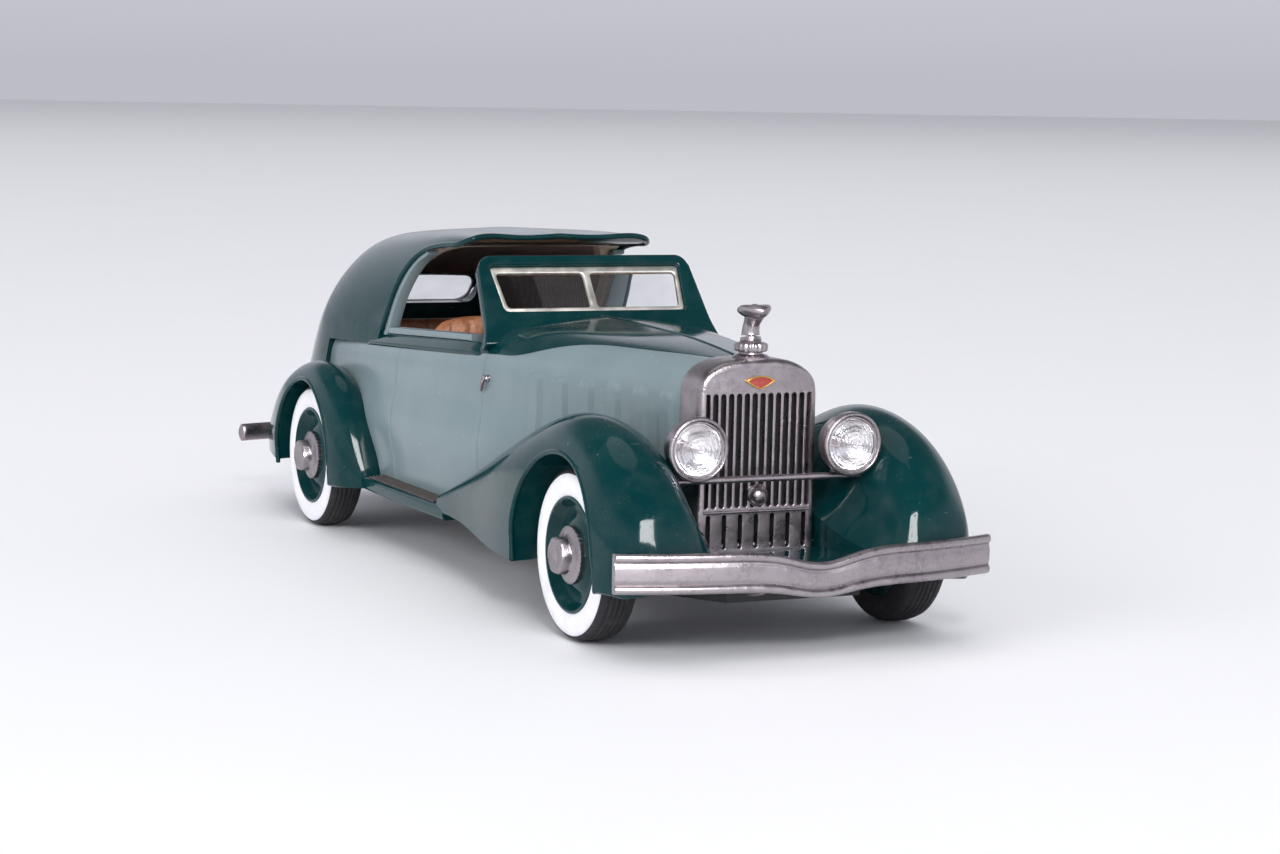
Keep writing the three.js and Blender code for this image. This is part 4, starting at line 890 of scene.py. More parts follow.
REAR_FENDER = {
    "from": 66.6,
    "to": 105.5,
    "crest_z": (
        (66.6, 8.6), (67.5, 11.0), (68.9, 14.0), (70.9, 16.9), (73.4, 19.0), (77.5, 20.5),
        (84, 20.7), (90, 19.1), (96, 16.0), (101, 12.3), (105.5, 8.4),
    ),
    "crest_x": ((66.6, 17.4), (71, 18.2), (82, 18.6), (92, 18.0), (100, 16.6), (105.5, 15)),
    "outer_x": (
        (66.6, 18.5), (68, 19.9), (70.5, 21.0), (74, 21.5), (82, 21.7),
        (92, 21.3), (98, 20.1), (103, 18.2), (105.5, 16.4),
    ),
    "outer_z": ((66.6, 6.6), (70, 6.4), (84, 6.6), (95, 7.2), (105.5, 7.2)),
    "inner_x": ((66.6, 14.5), (82, 14.5), (95, 12), (105.5, 9.5)),
    "inner_z": ((66.6, 7.8), (70, 13.2), (75, 17.0), (80, 18.6), (90, 17.6), (98, 13.6), (105.5, 8)),
}
FRONT_ARCH = {"axle": 0.0, "centre": 2.3, "z": 8.3, "radius": 10.9}
ARCH_DEPTH = (16.5, 30)  # from inside the fender's crown to well outside it
REAR_ARCH = {"axle": WHEELBASE, "centre": WHEELBASE + 0.4, "z": 8.4, "radius": 10.2}


def fender_curves(fender):
    return {key: spline(knots) for key, knots in fender.items() if key not in ("from", "to")}


def fender_line(at, s, count):
    """Open section of a fender as (x, z): outer lip, over the crest, down to the inner foot."""
    bottom, lip = at["outer_z"](s), at["outer_x"](s)
    crest_x, crest_z = at["crest_x"](s), at["crest_z"](s)
    foot_x, foot_z = at["inner_x"](s), at["inner_z"](s)
    rise, width, fall = crest_z - bottom, crest_x - foot_x, crest_z - foot_z
    return smooth_line(
        [
            (lip, bottom + 0.3 * rise),
            (crest_x + 0.88 * (lip - crest_x), bottom + 0.68 * rise),
            (crest_x + 0.52 * (lip - crest_x), bottom + 0.93 * rise),
            (crest_x, crest_z),
            (crest_x - 0.32 * width, crest_z - 0.1 * fall),
            (crest_x - 0.62 * width, crest_z - 0.44 * fall),
            (crest_x - 0.8 * width, crest_z - 0.78 * fall),
            (foot_x, foot_z),
        ],
        count,
    )


def fender_face(at, s, z):
    """Half-width of a fender's outer face at a height."""
    line = fender_line(at, s, 60)
    top = int(np.argmax(line[:, 1]))
    outer = [(at["outer_x"](s) - 0.3, at["outer_z"](s)), *line[: top + 1]]
    return float(np.interp(z, [p[1] for p in outer], [p[0] for p in outer]))


def make_fender(name, fender, arch, tuck):
    """A pair of fenders with their wheel arches cut out and a rolled lip round each arch."""
    at = fender_curves(fender)
    rows = []
    for s in np.linspace(fender["from"], fender["to"], 130):
        line = fender_line(at, s, 64)
        bottom = at["outer_z"](s)
        inward = tuck * float(ease((s - 3) / 4))
        under = [(line[-1, 0] - inward, line[-1, 1] - 0.4), (line[-1, 0] - inward, bottom + 0.6)]
        lip = [(at["outer_x"](s) - 0.35, bottom), (at["outer_x"](s) - 0.12, bottom + 0.18)]
        rows.append(at_station([*lip, *map(tuple, line), *under], s))
    body = skin(name, rows)
    radius, centre, level = arch["radius"], arch["centre"], arch["z"]
    front, back = centre - radius, centre + radius
    x0, x1 = ARCH_DEPTH
    drum = [(0, x0), (radius, x0), (radius, x1), (0, x1)]
    mouth = turned("mouth", drum, (0, centre, level), sides=96)
    below = prism("below", [(front, level), (back, level), (back, 0), (front, 0)], "x", x0, x1)
    carve(body, [*wheel_well(arch["axle"], sides=(1,)), mouth, below])
    low = float(at["outer_z"](centre)) + 0.2
    rim = [(front, z) for z in np.linspace(low, level, 8)[:-1]]
    for angle in np.linspace(math.pi, 0, 60):
        rim.append((centre + radius * math.cos(angle), level + radius * math.sin(angle)))
    rim += [(back, z) for z in np.linspace(level, low, 8)[1:]]
    path = [(fender_face(at, s, z) - 0.18, s, z) for s, z in rim]
    lip = tube(f"{name}_lip", path, 0.3)
    pair(body, name, DARK, name.replace("_wing", "_fender"))
    pair(lip, f"{name}_lip", DARK)


BOARD = {"front": 40.5, "rear": 68.5, "inner": 13.5, "outer": 18.0, "z": 8.5}
TREADS = {"count": 5, "first": 16.1, "pitch": 0.42, "front": 44.0, "rear": 65.5}


def make_running_boards():
    """Boards between the fenders, each with five rubber treads on its sloping top."""
    length = BOARD["rear"] - BOARD["front"]
    inner, top = BOARD["inner"], BOARD["z"]
    rows = []
    for s in np.linspace(BOARD["front"], BOARD["rear"], 56):
        outside = BOARD["outer"] + 0.25 * math.sin((s - BOARD["front"]) / length * math.pi)
        corners = [(inner, 6.5), (outside, 6.4), (outside + 0.1, 8.0), (inner, top)]
        rows.append(at_station(round_corners(corners, 0.5), s))
    pair(skin("step_board", rows), "step_board", DARK, "running_board")
    treads = []
    for k in range(TREADS["count"]):
        x = TREADS["first"] + TREADS["pitch"] * k
        z = top - 0.5 * (x - inner) / 4.5 + 0.12
        line = [(x, s, z) for s in np.linspace(TREADS["front"], TREADS["rear"], 12)]
        treads.append(tube("tread", line, 0.13, sides=8))
    pair(join("step_treads", treads), "step_treads", MAT)


def make_fenders():
    make_fender("front_wing", FRONT_FENDER, FRONT_ARCH, 1.6)
    make_fender("rear_wing", REAR_FENDER, REAR_ARCH, 3.0)
    make_running_boards()


def make_apron():
    """Curved apron between the fender noses, from the radiator's foot to the bumper."""
    rows = []
    for x in np.linspace(-10.6, 10.6, 60):
        sag = 0.5 * (x / 10.6) ** 2
        top = smooth_line(((-2.6, 8.75), (-5.5, 8.95), (-9.0, 8.85), (-12.0, 8.4), (-13.6, 7.7)), 24)
        under = smooth_line(((-13.4, 7.5), (-11.5, 7.9), (-7.0, 8.3), (-2.6, 8.2)), 16)
        rows.append([(x, s + 0.8 * sag, z + sag) for s, z in [*top, *under]])
    piece(skin("front_apron_panel", rows), DARK, ("front_apron",))


# ---------------------------------------------------------------- radiator
UPPER_SLOTS = {"count": 14, "pitch": 0.91, "z0": 13.4, "z1": 25.3, "half": 0.29}
LOWER_SLOTS = {"count": 7, "pitch": 1.86, "z0": 9.1, "z1": 12.7, "half": 0.23}


def radiator_outline(inset, step_count=16):
    """Outline of the radiator's shell: upright sides, round shoulders and a shallow arch."""
    half, top = RADIATOR_HALF - inset, RADIATOR_TOP - inset
    shoulder = ((half, 25.0), (half - 0.35, 26.7), (half - 1.7, 28.0 - inset * 0.8))
    arch = smooth_line((*shoulder, (half - 3.6, top - 0.12), (0, top)), step_count)
    right = [(half, RADIATOR_BOTTOM), (half, 14.0), (half, 20.0), *map(tuple, arch)]
    return right + [(-x, z) for x, z in reversed(right[:-1])]


def make_radiator():
    levels = ((RADIATOR_BACK, 0.0), (-1.9, 0.0), (-2.3, 0.07), (-2.58, 0.2), (-2.74, 0.4))
    levels += ((RADIATOR_FRONT, 0.7), (RADIATOR_FRONT, 0.75), (-2.5, 0.95), (RADIATOR_BACK, 0.95))
    rows = [at_station(radiator_outline(inset), s) for s, inset in levels]
    surround = skin("radiator_surround", rows, loop=True)
    slots = []
    for row in (UPPER_SLOTS, LOWER_SLOTS):
        high, middle = (row["z1"] - row["z0"]) / 2, (row["z1"] + row["z0"]) / 2
        for k in range(row["count"]):
            x = (k - (row["count"] - 1) / 2) * row["pitch"]
            slots.append(rounded(row["half"], high, row["half"] - 0.01, steps=4, centre=(x, middle)))
    face_edge = radiator_outline(0.66)
    face = plate("radiator_face", [face_edge, *slots], 0.7, 0.07, (0, RADIATOR_FRONT + 0.36, 0))
    whole = join("radiator_front", [surround, face])
    piece(whole, NICKEL, ("radiator_shell",), sharp=38)
    strip = [(x, RADIATOR_FRONT - 0.02, 13.0) for x in np.linspace(-6.1, 6.1, 8)]
    piece(tube("radiator_rail", strip, 0.16), NICKEL)
    button = [(0, 0.1), (1.16, 0.1), (1.2, -0.12), (1.1, -0.28), (1.0, -0.32), (0.96, -0.44)]
    button += [(0.8, -0.74), (0.56, -0.94), (0.28, -1.05), (0, -1.08)]
    cover = turned("crank_button", button, (0, RADIATOR_FRONT, 14.7), axis="y", sides=48)
    piece(cover, NICKEL, ("crank_cover",), sharp=60)
    half = [(0, 25.72), (0.62, 25.98), (1.25, 26.3), (1.75, 26.62), (1.2, 26.92), (0.6, 27.08), (0, 27.16)]
    lozenge = half + [(-x, z) for x, z in reversed(half[1:-1])]
    middle = np.array((0, 26.5))
    border = [tuple(middle + (np.array(p) - middle) * 0.8) for p in lozenge]
    edge = plate("badge_edge", [lozenge, border], 0.34, 0.05, (0, RADIATOR_FRONT - 0.12, 0))
    piece(edge, GILT)
    inner = [tuple(middle + (np.array(p) - middle) * 0.82) for p in lozenge]
    fill = plate("badge_fill", [inner], 0.24, 0.04, (0, RADIATOR_FRONT - 0.1, 0))
    piece(fill, ENAMEL, ("radiator_badge",))


def make_cap():
    station = (box_mm("radiator_cap")[0][1] + box_mm("radiator_cap")[1][1]) / 2
    profile = [(0, 28.7), (1.9, 28.7), (1.95, 28.95), (1.7, 29.15), (1.25, 29.25), (1.2, 29.4)]
    profile += [(1.62, 29.55), (1.72, 29.75), (1.72, 30.15), (1.6, 30.35), (1.15, 30.5)]
    profile += [(0.8, 30.75), (0, 30.8)]

    def flutes(radius, angles, row):
        return radius * (1 + (0.035 * np.cos(18 * angles) if 6 <= row <= 9 else 0 * angles))

    cap = turned("filler_cap", profile, (0, station, 0), axis="z", sides=144, shape=flutes)
    piece(cap, NICKEL, ("radiator_cap",))
    # A plain mascot: a curved stem that opens into one swept, forward-leaning wing.
    stem = ((0, 0.1, 30.6), (0, 0.2, 31.5), (0, -0.1, 32.5), (0, -0.6, 33.4), (0, -0.9, 33.9))
    stem = smooth_line(stem, 20)
    radii = np.interp(np.linspace(0, 1, 20), (0, 0.2, 0.55, 0.85, 1), (1.15, 0.95, 0.85, 1.1, 0.9))
    post = tube("stem", stem + (0, station, 0), radii, sides=20)
    rows = []
    for t in np.linspace(-1, 1, 25):
        chord = 1.25 * math.sqrt(max(1 - t * t, 0.01)) + 0.3
        thick = 0.68 * math.sqrt(max(1 - t * t, 0.02)) + 0.1
        angles = np.linspace(0, FULL_TURN, 20, endpoint=False)
        shift, lift = 0.9 * abs(t) ** 1.5, 0.35 * abs(t) ** 2
        along = station - 1.25 + shift + chord * np.cos(angles)
        up = 33.65 + lift + thick * np.sin(angles) - 0.18 * np.cos(angles)
        rows.append(np.column_stack([np.full(len(angles), 1.7 * t), along, up]))
    wing = skin("wing", rows)
    piece(join("mascot_wing", [post, wing]), NICKEL, ("mascot",))


# ---------------------------------------------------------------- headlamps
LAMP = {"x": 8.9, "front": -7.1, "z": 20.2, "rim": 3.35, "lens": 2.7}


def make_headlamps():
    centre = (LAMP["x"], LAMP["front"], LAMP["z"])
    rim, lens = LAMP["rim"], LAMP["lens"]
    bowl = [(0, 4.9), (0.35, 4.85), (1.0, 4.6), (1.7, 4.1), (2.35, 3.35), (2.85, 2.45), (3.12, 1.6)]
    bowl += [(3.22, 1.05), (rim, 0.98), (rim + 0.03, 0.6), (rim, 0.15), (rim - 0.12, 0.0)]
    bowl += [(rim - 0.3, -0.06), (lens + 0.32, -0.04), (lens + 0.22, 0.05), (lens + 0.16, 0.18)]
    bowl += [(lens + 0.02, 0.2), (lens, 0.9), (2.0, 1.7), (1.0, 2.2), (0, 2.35)]
    shell = turned("headlamp_shell", bowl, centre, axis="y")
    pair(shell, "headlamp_shell", NICKEL, "headlamp_bowl")
    dish = [(0, 2.2), (1.0, 2.05), (1.9, 1.6), (2.5, 0.95), (2.66, 0.55)]
    dish += [(2.66, 0.5), (2.4, 0.8), (1.7, 1.4), (0.8, 1.8), (0, 1.9)]
    pair(turned("reflector", dish, centre, axis="y", sides=64), "headlamp_reflector", MIRROR)
    bulb = [(0, 0.9), (0.22, 0.95), (0.4, 1.2), (0.36, 1.55), (0.3, 1.9), (0, 1.95)]
    pair(turned("bulb", bulb, centre, axis="y", sides=32), "headlamp_bulb", BRIGHT)
    flutes = []
    for r in np.linspace(0, lens - 0.1, 40):
        ripple = 0.06 * math.cos(r * FULL_TURN / 0.45)
        flutes.append((r, -0.32 + 0.42 * (r / lens) ** 2 + ripple))
    back = [(lens - 0.1, 0.42), (1.6, 0.18), (0.0, 0.05)]

    def ribs(radius, angles, row):
        ribbed = 0 < radius < lens - 0.4
        return radius * (1 + (0.012 * np.cos(24 * angles) if ribbed else 0 * angles))

    glass = turned("lens", [*flutes, *back], centre, axis="y", sides=120, shape=ribs)
    pair(glass, "headlamp_glass", LENS, "headlamp_lens")
    level, back_by = 16.8, -5.4
    parts = [tube("bar", [(x, back_by, level) for x in np.linspace(-12.4, 12.4, 40)], 0.36, sides=20)]
    for side in (1, -1):
        neck = [(0, 16.4), (0.7, 16.4), (0.85, 16.8), (0.7, 17.3), (0.6, 17.8), (0, 17.9)]
        parts.append(turned("neck", neck, (side * LAMP["x"], back_by + 1.6, 0), axis="z", sides=32))
    piece(join("lamp_bar", parts), NICKEL, ("headlamp_tie_bar",))


# ---------------------------------------------------------------- bumpers
BUMPER_HALF = 21.35
NOSE, TAIL = box_mm("front_bumper")[0][1], box_mm("rear_bumper")[1][1]


def bumper_section():
    """(forward, up) outline of a blade: a bead along each edge and a flat band between them."""
    face = smooth_line(
        ((0.5, 0.02), (0.82, 0.2), (0.9, 0.48), (0.72, 0.78), (0.56, 0.92), (0.66, 1.12), (0.74, 1.4)), 14
    )
    upper = [(f, 3.75 - u) for f, u in reversed(list(map(tuple, face)))]
    return [*map(tuple, face), *upper, (0.0, 3.68), (-0.05, 1.9), (0.0, 0.08)]


FRONT_BUMPER = {"z": 7.2, "height": 1.1, "dip": 1.37, "dip_width": 4.3, "sweep": 3.4}
SWEEP_POWER = 2.4
IRON = {"x": 5.6, "radius": 0.5, "foot": 6.9}


def bumper_irons(route):
    """Two cranked irons along the same (station, z) route."""
    parts = []
    for x in (-IRON["x"], IRON["x"]):
        line = smooth_line([(x, s, z) for s, z in route], 24)
        parts.append(tube("iron", line, IRON["radius"], sides=16))
    return parts


def make_front_bumper():
    """Ribbed blade, swept back at its ends and dipped in the middle."""
    section = bumper_section()
    sweep, foot = FRONT_BUMPER["sweep"], IRON["foot"]
    rows = []
    for x in np.linspace(-BUMPER_HALF, BUMPER_HALF, 110):
        back = 0.9 + sweep * abs(x / BUMPER_HALF) ** SWEEP_POWER
        drop = FRONT_BUMPER["dip"] * math.exp(-((x / FRONT_BUMPER["dip_width"]) ** 2))
        row = []
        for forward, up in section:
            z = FRONT_BUMPER["z"] + up * FRONT_BUMPER["height"] - drop * (0.62 + 0.1 * up)
            row.append((x, NOSE + (back - forward), z))
        rows.append(row)
    blade = bevelled(skin("blade", rows), 0.1, segments=2, angle=70)
    start = NOSE + (0.9 + sweep * (IRON["x"] / BUMPER_HALF) ** SWEEP_POWER)
    irons = bumper_irons(((start, 9.0), (start + 0.8, 7.6), (start + 2.2, foot), (-6.0, foot)))
    blade = join("front_bumper_blade", [blade, *irons])
    piece(blade, NICKEL, ("front_bumper",), sharp=50)


def make_rear_bumper():
    """Half-round bar with rounded ends on two cranked irons."""
    line = []
    for x in np.linspace(-BUMPER_HALF + 0.5, BUMPER_HALF - 0.5, 90):
        line.append((x, TAIL - 0.75 - 3.0 * abs(x / BUMPER_HALF) ** SWEEP_POWER, 8.75))
    bar = tube("bar", line, 0.72, sides=28, squash=1.6)
    foot = IRON["foot"]
    irons = bumper_irons(((TAIL - 1.0, 8.6), (TAIL - 2.2, 7.4), (TAIL - 4.0, foot), (98.0, foot)))
    piece(join("rear_bumper_bar", [bar, *irons]), NICKEL, ("rear_bumper",), sharp=50)


# ---------------------------------------------------------------- windscreen
SCREEN_RAKE = math.atan2(4.0, 5.4)
SCREEN_BASE = (0, 38.9, 30.2)
SCREEN_HEIGHT = 6.3


def trapezium(bottom, top, z0, z1, radius):
    return round_corners([(bottom, z0), (top, z1), (-top, z1), (-bottom, z0)], radius)


def screen_outline():
    """The frame's outer edge: pillars that flare at the foot, and rounded upper corners."""
    top, half, corner = 7.6, 13.3, 1.5
    side = []
    for z in np.linspace(-4.4, top - corner, 24):
        side.append((half + 0.10 * (top - z) + 0.5 * float(ease((-0.8 - z) / 4.5)), z))
    for angle in np.linspace(0, math.pi / 2, 8)[1:]:
        side.append((half - corner + corner * math.cos(angle), top - corner + corner * math.sin(angle)))
    return side + [(-x, z) for x, z in reversed(side)]


def make_windscreen():
    place = (SCREEN_BASE, SCREEN_RAKE)
    outside = screen_outline()
    opening = trapezium(11.5, 12.1, 0.0, SCREEN_HEIGHT, 0.7)
    frame_plate = plate("screen_frame", [outside, opening], 1.6, 0.3, *place)
    carve(frame_plate, [loft("inside", body_half, np.arange(30, 60, 1.0), 60, 0.8)])
    piece(frame_plate, DARK, ("windscreen_frame",))
    outside = trapezium(11.45, 12.05, 0.05, SCREEN_HEIGHT - 0.05, 0.65)
    top = SCREEN_HEIGHT - 0.95
    panes = [round_corners([(0.42, 0.68), (10.85, 0.68), (11.4, top), (0.42, top)], 0.5)]
    panes.append([(-x, z) for x, z in reversed(panes[0])])
    trim = plate("screen_trim", [outside, *panes], 0.62, 0.16, *place)
    piece(trim, CREAM, ("windscreen_trim",))
    pane = trapezium(11.2, 11.8, 0.3, SCREEN_HEIGHT - 0.25, 0.5)
    pane = plate("screen_pane", [pane], 0.14, 0.03, *place)
    piece(pane, GLASS, ("windscreen_glass",))


# ---------------------------------------------------------------- cabin
def make_cabin():
    """Floor with the rear seat's riser, door panels, headlining and parcel shelf."""
    front, rear = CABIN_FRONT + 0.1, 93.0
    outline = [(front, 7.2), (77, 7.2), (77, 11.3), (86.2, 11.3), (86.2, 7.2), (rear, 7.2), (rear, 8.3)]
    outline += [(87.3, 8.3), (87.3, 12.4), (75.9, 12.4), (75.9, 8.3), (front, 8.3)]
    floor = bevelled(prism("cabin_floor", outline, "x", -12.3, 12.3), 0.25)
    piece(floor, CARPET, ("interior_tub",))
    rows = []
    for s in np.linspace(front + 0.6, 91.0, 50):
        top = min(sill_z(s) + 0.5, 27.2)
        bulge = 0.25 * math.sin((s - front) / (91.0 - front) * math.pi * 9) ** 2
        ring = [(12.35, 8.2), (12.7, top - 0.4), (12.0, top), (11.55 - bulge * 0.4, 17), (11.7, 8.2)]
        rows.append(at_station(round_corners(ring, 0.4, 4), s))
    pair(skin("door_lining", rows), "door_lining", LEATHER)
    rows = np.array([tail_half(s, 60, ROOF_WALL + 0.15)[:44] for s in np.arange(52.5, 95.5, 0.8)])
    rows[..., 2] += 0.05
    sheet = np.concatenate([rows[:, 1:][:, ::-1] * (-1, 1, 1), rows], axis=1)
    lining = skin("headlining", sheet, ring=False, caps=False)
    edge = smooth_line(HOOP_EDGE[:-1], 100) + (0.9, 0)
    ahead = prism("ahead", [(40, 5), *map(tuple, edge), (50.0, 45), (40, 45)], "x", -BEYOND, BEYOND)
    modify(lining, "SOLIDIFY", thickness=0.35 * MM, offset=0.0)
    bake(lining)
    carve(lining, [ahead, prism("window", rear_glass_outline(0.1), "y", 80, 112)])
    piece(lining, LINING)
    shelf = [(91.0, 22.6), (95.4, 22.6), (95.4, 23.1), (91.0, 23.1)]
    piece(bevelled(prism("parcel_shelf", shelf, "x", -12.2, 12.2), 0.15), LINING)


def cushion(name, size, centre, lean, channels, crown=0.9):
    """Crowned pad: half sizes (x, length, thickness), sewn channels across x, leaned about x."""
    hx, hy, hz = size
    columns, rings = 96, 40
    rows = []
    for i in range(columns + 1):
        u = -1 + 2 * i / columns
        end = (1 - abs(u) ** 6) ** (1 / 3)
        pleat = 1 - 0.22 * math.exp(-((((u * channels + 0.5) % 1) - 0.5) / 0.12) ** 2) if channels else 1.0
        ring = []
        for a in np.linspace(0, FULL_TURN, rings, endpoint=False):
            cos, sin = math.cos(a), math.sin(a)
            y = hy * math.copysign(abs(cos) ** 0.45, cos) * (0.35 + 0.65 * end)
            z = hz * math.copysign(abs(sin) ** 0.7, sin) * (0.2 + 0.8 * end)
            if sin > 0:
                z = z * pleat * (1 + crown * 0.25 * (1 - (y / hy) ** 2))
            ring.append((u * hx * (1 - 0.02 * abs(cos)), y, z))
        rows.append(ring)
    rows = np.array(rows)
    cos, sin = math.cos(lean), math.sin(lean)
    y, z = rows[..., 1].copy(), rows[..., 2].copy()
    rows[..., 1], rows[..., 2] = y * cos - z * sin, y * sin + z * cos
    return skin(name, rows + np.array(centre, float))


# Places are (station, z), half sizes (length, thickness), a plinth (front, bottom, top) and leans degrees.
SEATS = {
    "front_seat": {
        "half": 11.1, "base_at": (56.2, 13.4), "base": (6.2, 2.9), "back_at": (63.6, 21.4),
        "back": (6.6, 1.75), "lean": 81, "plinth": (50.2, 8.7, 11.2),
    },
    "rear_seat": {
        "half": 10.5, "base_at": (82.2, 15.6), "base": (5.2, 2.1), "back_at": (89.3, 20.6),
        "back": (5.0, 1.35), "lean": 74, "plinth": (77.6, 12.9, 13.6),
    },
}
CHANNELS = 5
SEAT_TILT = math.radians(2)


def make_seats():
    """Two bench seats, each a channelled cushion with piping and a taller channelled backrest."""
    for name, size in SEATS.items():
        half, (base_s, base_z), (length, thick) = size["half"], size["base_at"], size["base"]
        lean = math.pi - math.radians(size["lean"])
        seat = cushion(f"{name}_cushion", (half, length, thick), (0, base_s, base_z), SEAT_TILT, CHANNELS)
        rest = cushion(f"{name}_backrest", (half, *size["back"]), (0, *size["back_at"]), lean, CHANNELS)
        across = np.linspace(-half * 0.93, half * 0.93, 30)
        seam = [(x, base_s - length * 0.97, base_z + 0.4) for x in across]
        for pad, nodes in ((seat, (name,)), (rest, ())):
            piece(pad, LEATHER, nodes, sharp=80)
        piece(tube(f"{name}_piping", seam, 0.22, sides=8), TRIM)
        front, low, high = size["plinth"]
        rear = size["back_at"][0] + 1.0
        outline = [(front, low), (rear, low), (rear, high), (front, high)]
        block = bevelled(prism(f"{name}_plinth", outline, "x", -half + 0.6, half - 0.6), 0.3)
        piece(block, CARPET)


GAUGES = ((-2.0, 1.0), (0.9, 1.35), (3.6, 0.8), (5.7, 0.8))  # (x, radius)


def make_dashboard():
    f = CABIN_FRONT + 0.15
    outline = round_corners([(f, 20.6), (41.0, 21.2), (42.4, 24.0), (42.1, 26.2), (f, 26.9)], 0.7)
    board = bevelled(prism("dash_board", outline, "x", -12.0, 12.0), 0.2)
    piece(board, LEATHER, ("dashboard",))
    rims, faces = [], []
    for x, radius in GAUGES:
        centre = (x, 42.15, 24.7)
        ring = [(radius, -0.2), (radius + 0.18, -0.1), (radius + 0.18, 0.25), (radius, 0.35)]
        ring += [(radius - 0.12, 0.2), (radius - 0.12, -0.2)]
        rims.append(turned("rim", ring, centre, axis="y", sides=40))
        dial = [(0, 0.1), (radius - 0.1, 0.1), (radius - 0.1, -0.3), (0, -0.3)]
        faces.append(turned("face", dial, centre, axis="y", sides=40))
    piece(join("gauge_rims", rims), BRIGHT)
    piece(join("gauge_faces", faces), WHITE)


STEERING = {"x": -6.4, "station": 48.2, "z": 24.6, "radius": 3.3, "tilt": math.radians(-52)}


def make_steering():
    tilt = STEERING["tilt"]
    place = np.array((STEERING["x"], STEERING["station"], STEERING["z"]))

    def turn(points):
        points = np.asarray(points, float)
        y, z = points[..., 1], points[..., 2]
        cos, sin = math.cos(tilt), math.sin(tilt)
        return np.stack([points[..., 0], y * cos - z * sin, y * sin + z * cos], axis=-1) + place

    angles = np.linspace(0, FULL_TURN, 96, endpoint=False)
    radius = STEERING["radius"]
    grip = 0.27 + 0.02 * np.cos(48 * angles)
    circle = turn([(radius * math.cos(a), radius * math.sin(a), 0) for a in angles])
    rim = tube("rim", circle, grip, closed=True)
    spokes = []
    for a in (math.radians(45 + 90 * k) for k in range(4)):
        reach = np.linspace(0.5, radius - 0.1, 10)
        line = [(r * math.cos(a), r * math.sin(a), -0.3 * (1 - r / radius)) for r in reach]
        spokes.append(tube("spoke", turn(line), np.linspace(0.26, 0.16, 10), sides=10))
    column = tube("column", turn([(0, 0, z) for z in np.linspace(-7.2, -0.2, 8)]), 0.36, sides=20)
    piece(join("steering_rim", [rim, column]), BLACK, ("steering_wheel",))
    hub_line = turn([(0, 0, z) for z in (-0.55, -0.3, 0.05, 0.2)])
    hub = tube("hub", hub_line, [0.9, 0.95, 0.8, 0.4], sides=24)
    piece(join("steering_spokes", [*spokes, hub]), BRIGHT)


# ---------------------------------------------------------------- wheels and running gear
# Half outlines of the wheel's pieces: (radius, distance outwards from its outer or inner face).
TYRE_INSIDE = ((6.0, 0.3), (7.0, 0), (8.0, 0.1), (8.55, 0.45))
TYRE_OUTSIDE = ((8.62, -0.5), (8.42, -0.3), (8.25, -0.42), (6.0, -0.7))
BAND = (
    (6.0, -0.75), (8.32, -0.75), (8.36, -0.42), (8.2, -0.2), (7.6, -0.04),
    (7.0, 0), (6.4, -0.1), (6.05, -0.3), (6.0, -0.75),
)
DISC_INSIDE = ((0.78, 0.5), (5.6, 0.5), (6.1, 0.2))
DISC_OUTSIDE = (
    (6.12, -0.35), (5.98, -0.16), (5.75, -0.14), (5.55, -0.4), (5.35, -0.95), (5.0, -1.35),
    (4.4, -1.4), (3.8, -1.1), (3.3, -0.8), (2.9, -0.7), (0.78, -0.7),
)
HUB = (
    (0, -0.8), (2.95, -0.8), (3.05, -0.5), (3.02, -0.22), (2.8, -0.08), (2.45, -0.02), (2.2, 0.12),
    (1.95, 0.3), (1.9, 0.5), (1.92, 1.1), (1.85, 1.32), (1.65, 1.44), (1.5, 1.44), (1.4, 1.36), (0, 1.34),
)
TREAD_ROWS, TREAD_PITCH, TREAD_DEPTH = 45, 0.56, 0.2
TREAD_EDGE = 0.85  # width of each shoulder beside the tread


def bitten(r, angles, row):
    """Notches in the tyre's shoulders."""
    shoulder = row in (4, 5, 6, 46, 47, 48)
    return np.full(angles.shape, float(r)) - (0.10 * (np.cos(90 * angles) > 0.2) if shoulder else 0)


def serrated(r, angles, row):
    """Fine teeth round the hub's flange and a six-sided nut at its end."""
    cut = 0.09 * (0.5 + 0.5 * np.cos(36 * angles)) if 1 <= row <= 4 else 0.0 * angles
    facet = 0.05 * np.cos(6 * angles) if 8 <= row <= 10 else 0.0 * angles
    return np.full(angles.shape, float(r)) - cut + facet


def tread():
    """The tyre's grooved running surface, from its inner to its outer shoulder."""
    inner, outer = TYRE_INNER_X, TYRE_OUTER_X
    points = []
    for x in np.linspace(inner + TREAD_EDGE, outer - TREAD_EDGE, TREAD_ROWS):
        edge = abs((x - (inner + outer) / 2) / ((outer - inner) / 2 - TREAD_EDGE))
        groove = TREAD_DEPTH * (0.5 + 0.5 * math.cos((x - inner) * FULL_TURN / TREAD_PITCH)) ** 2
        points.append((AXLE_Z - 0.005 - groove * (edge < 0.95) - 0.18 * edge**3, x))
    return points


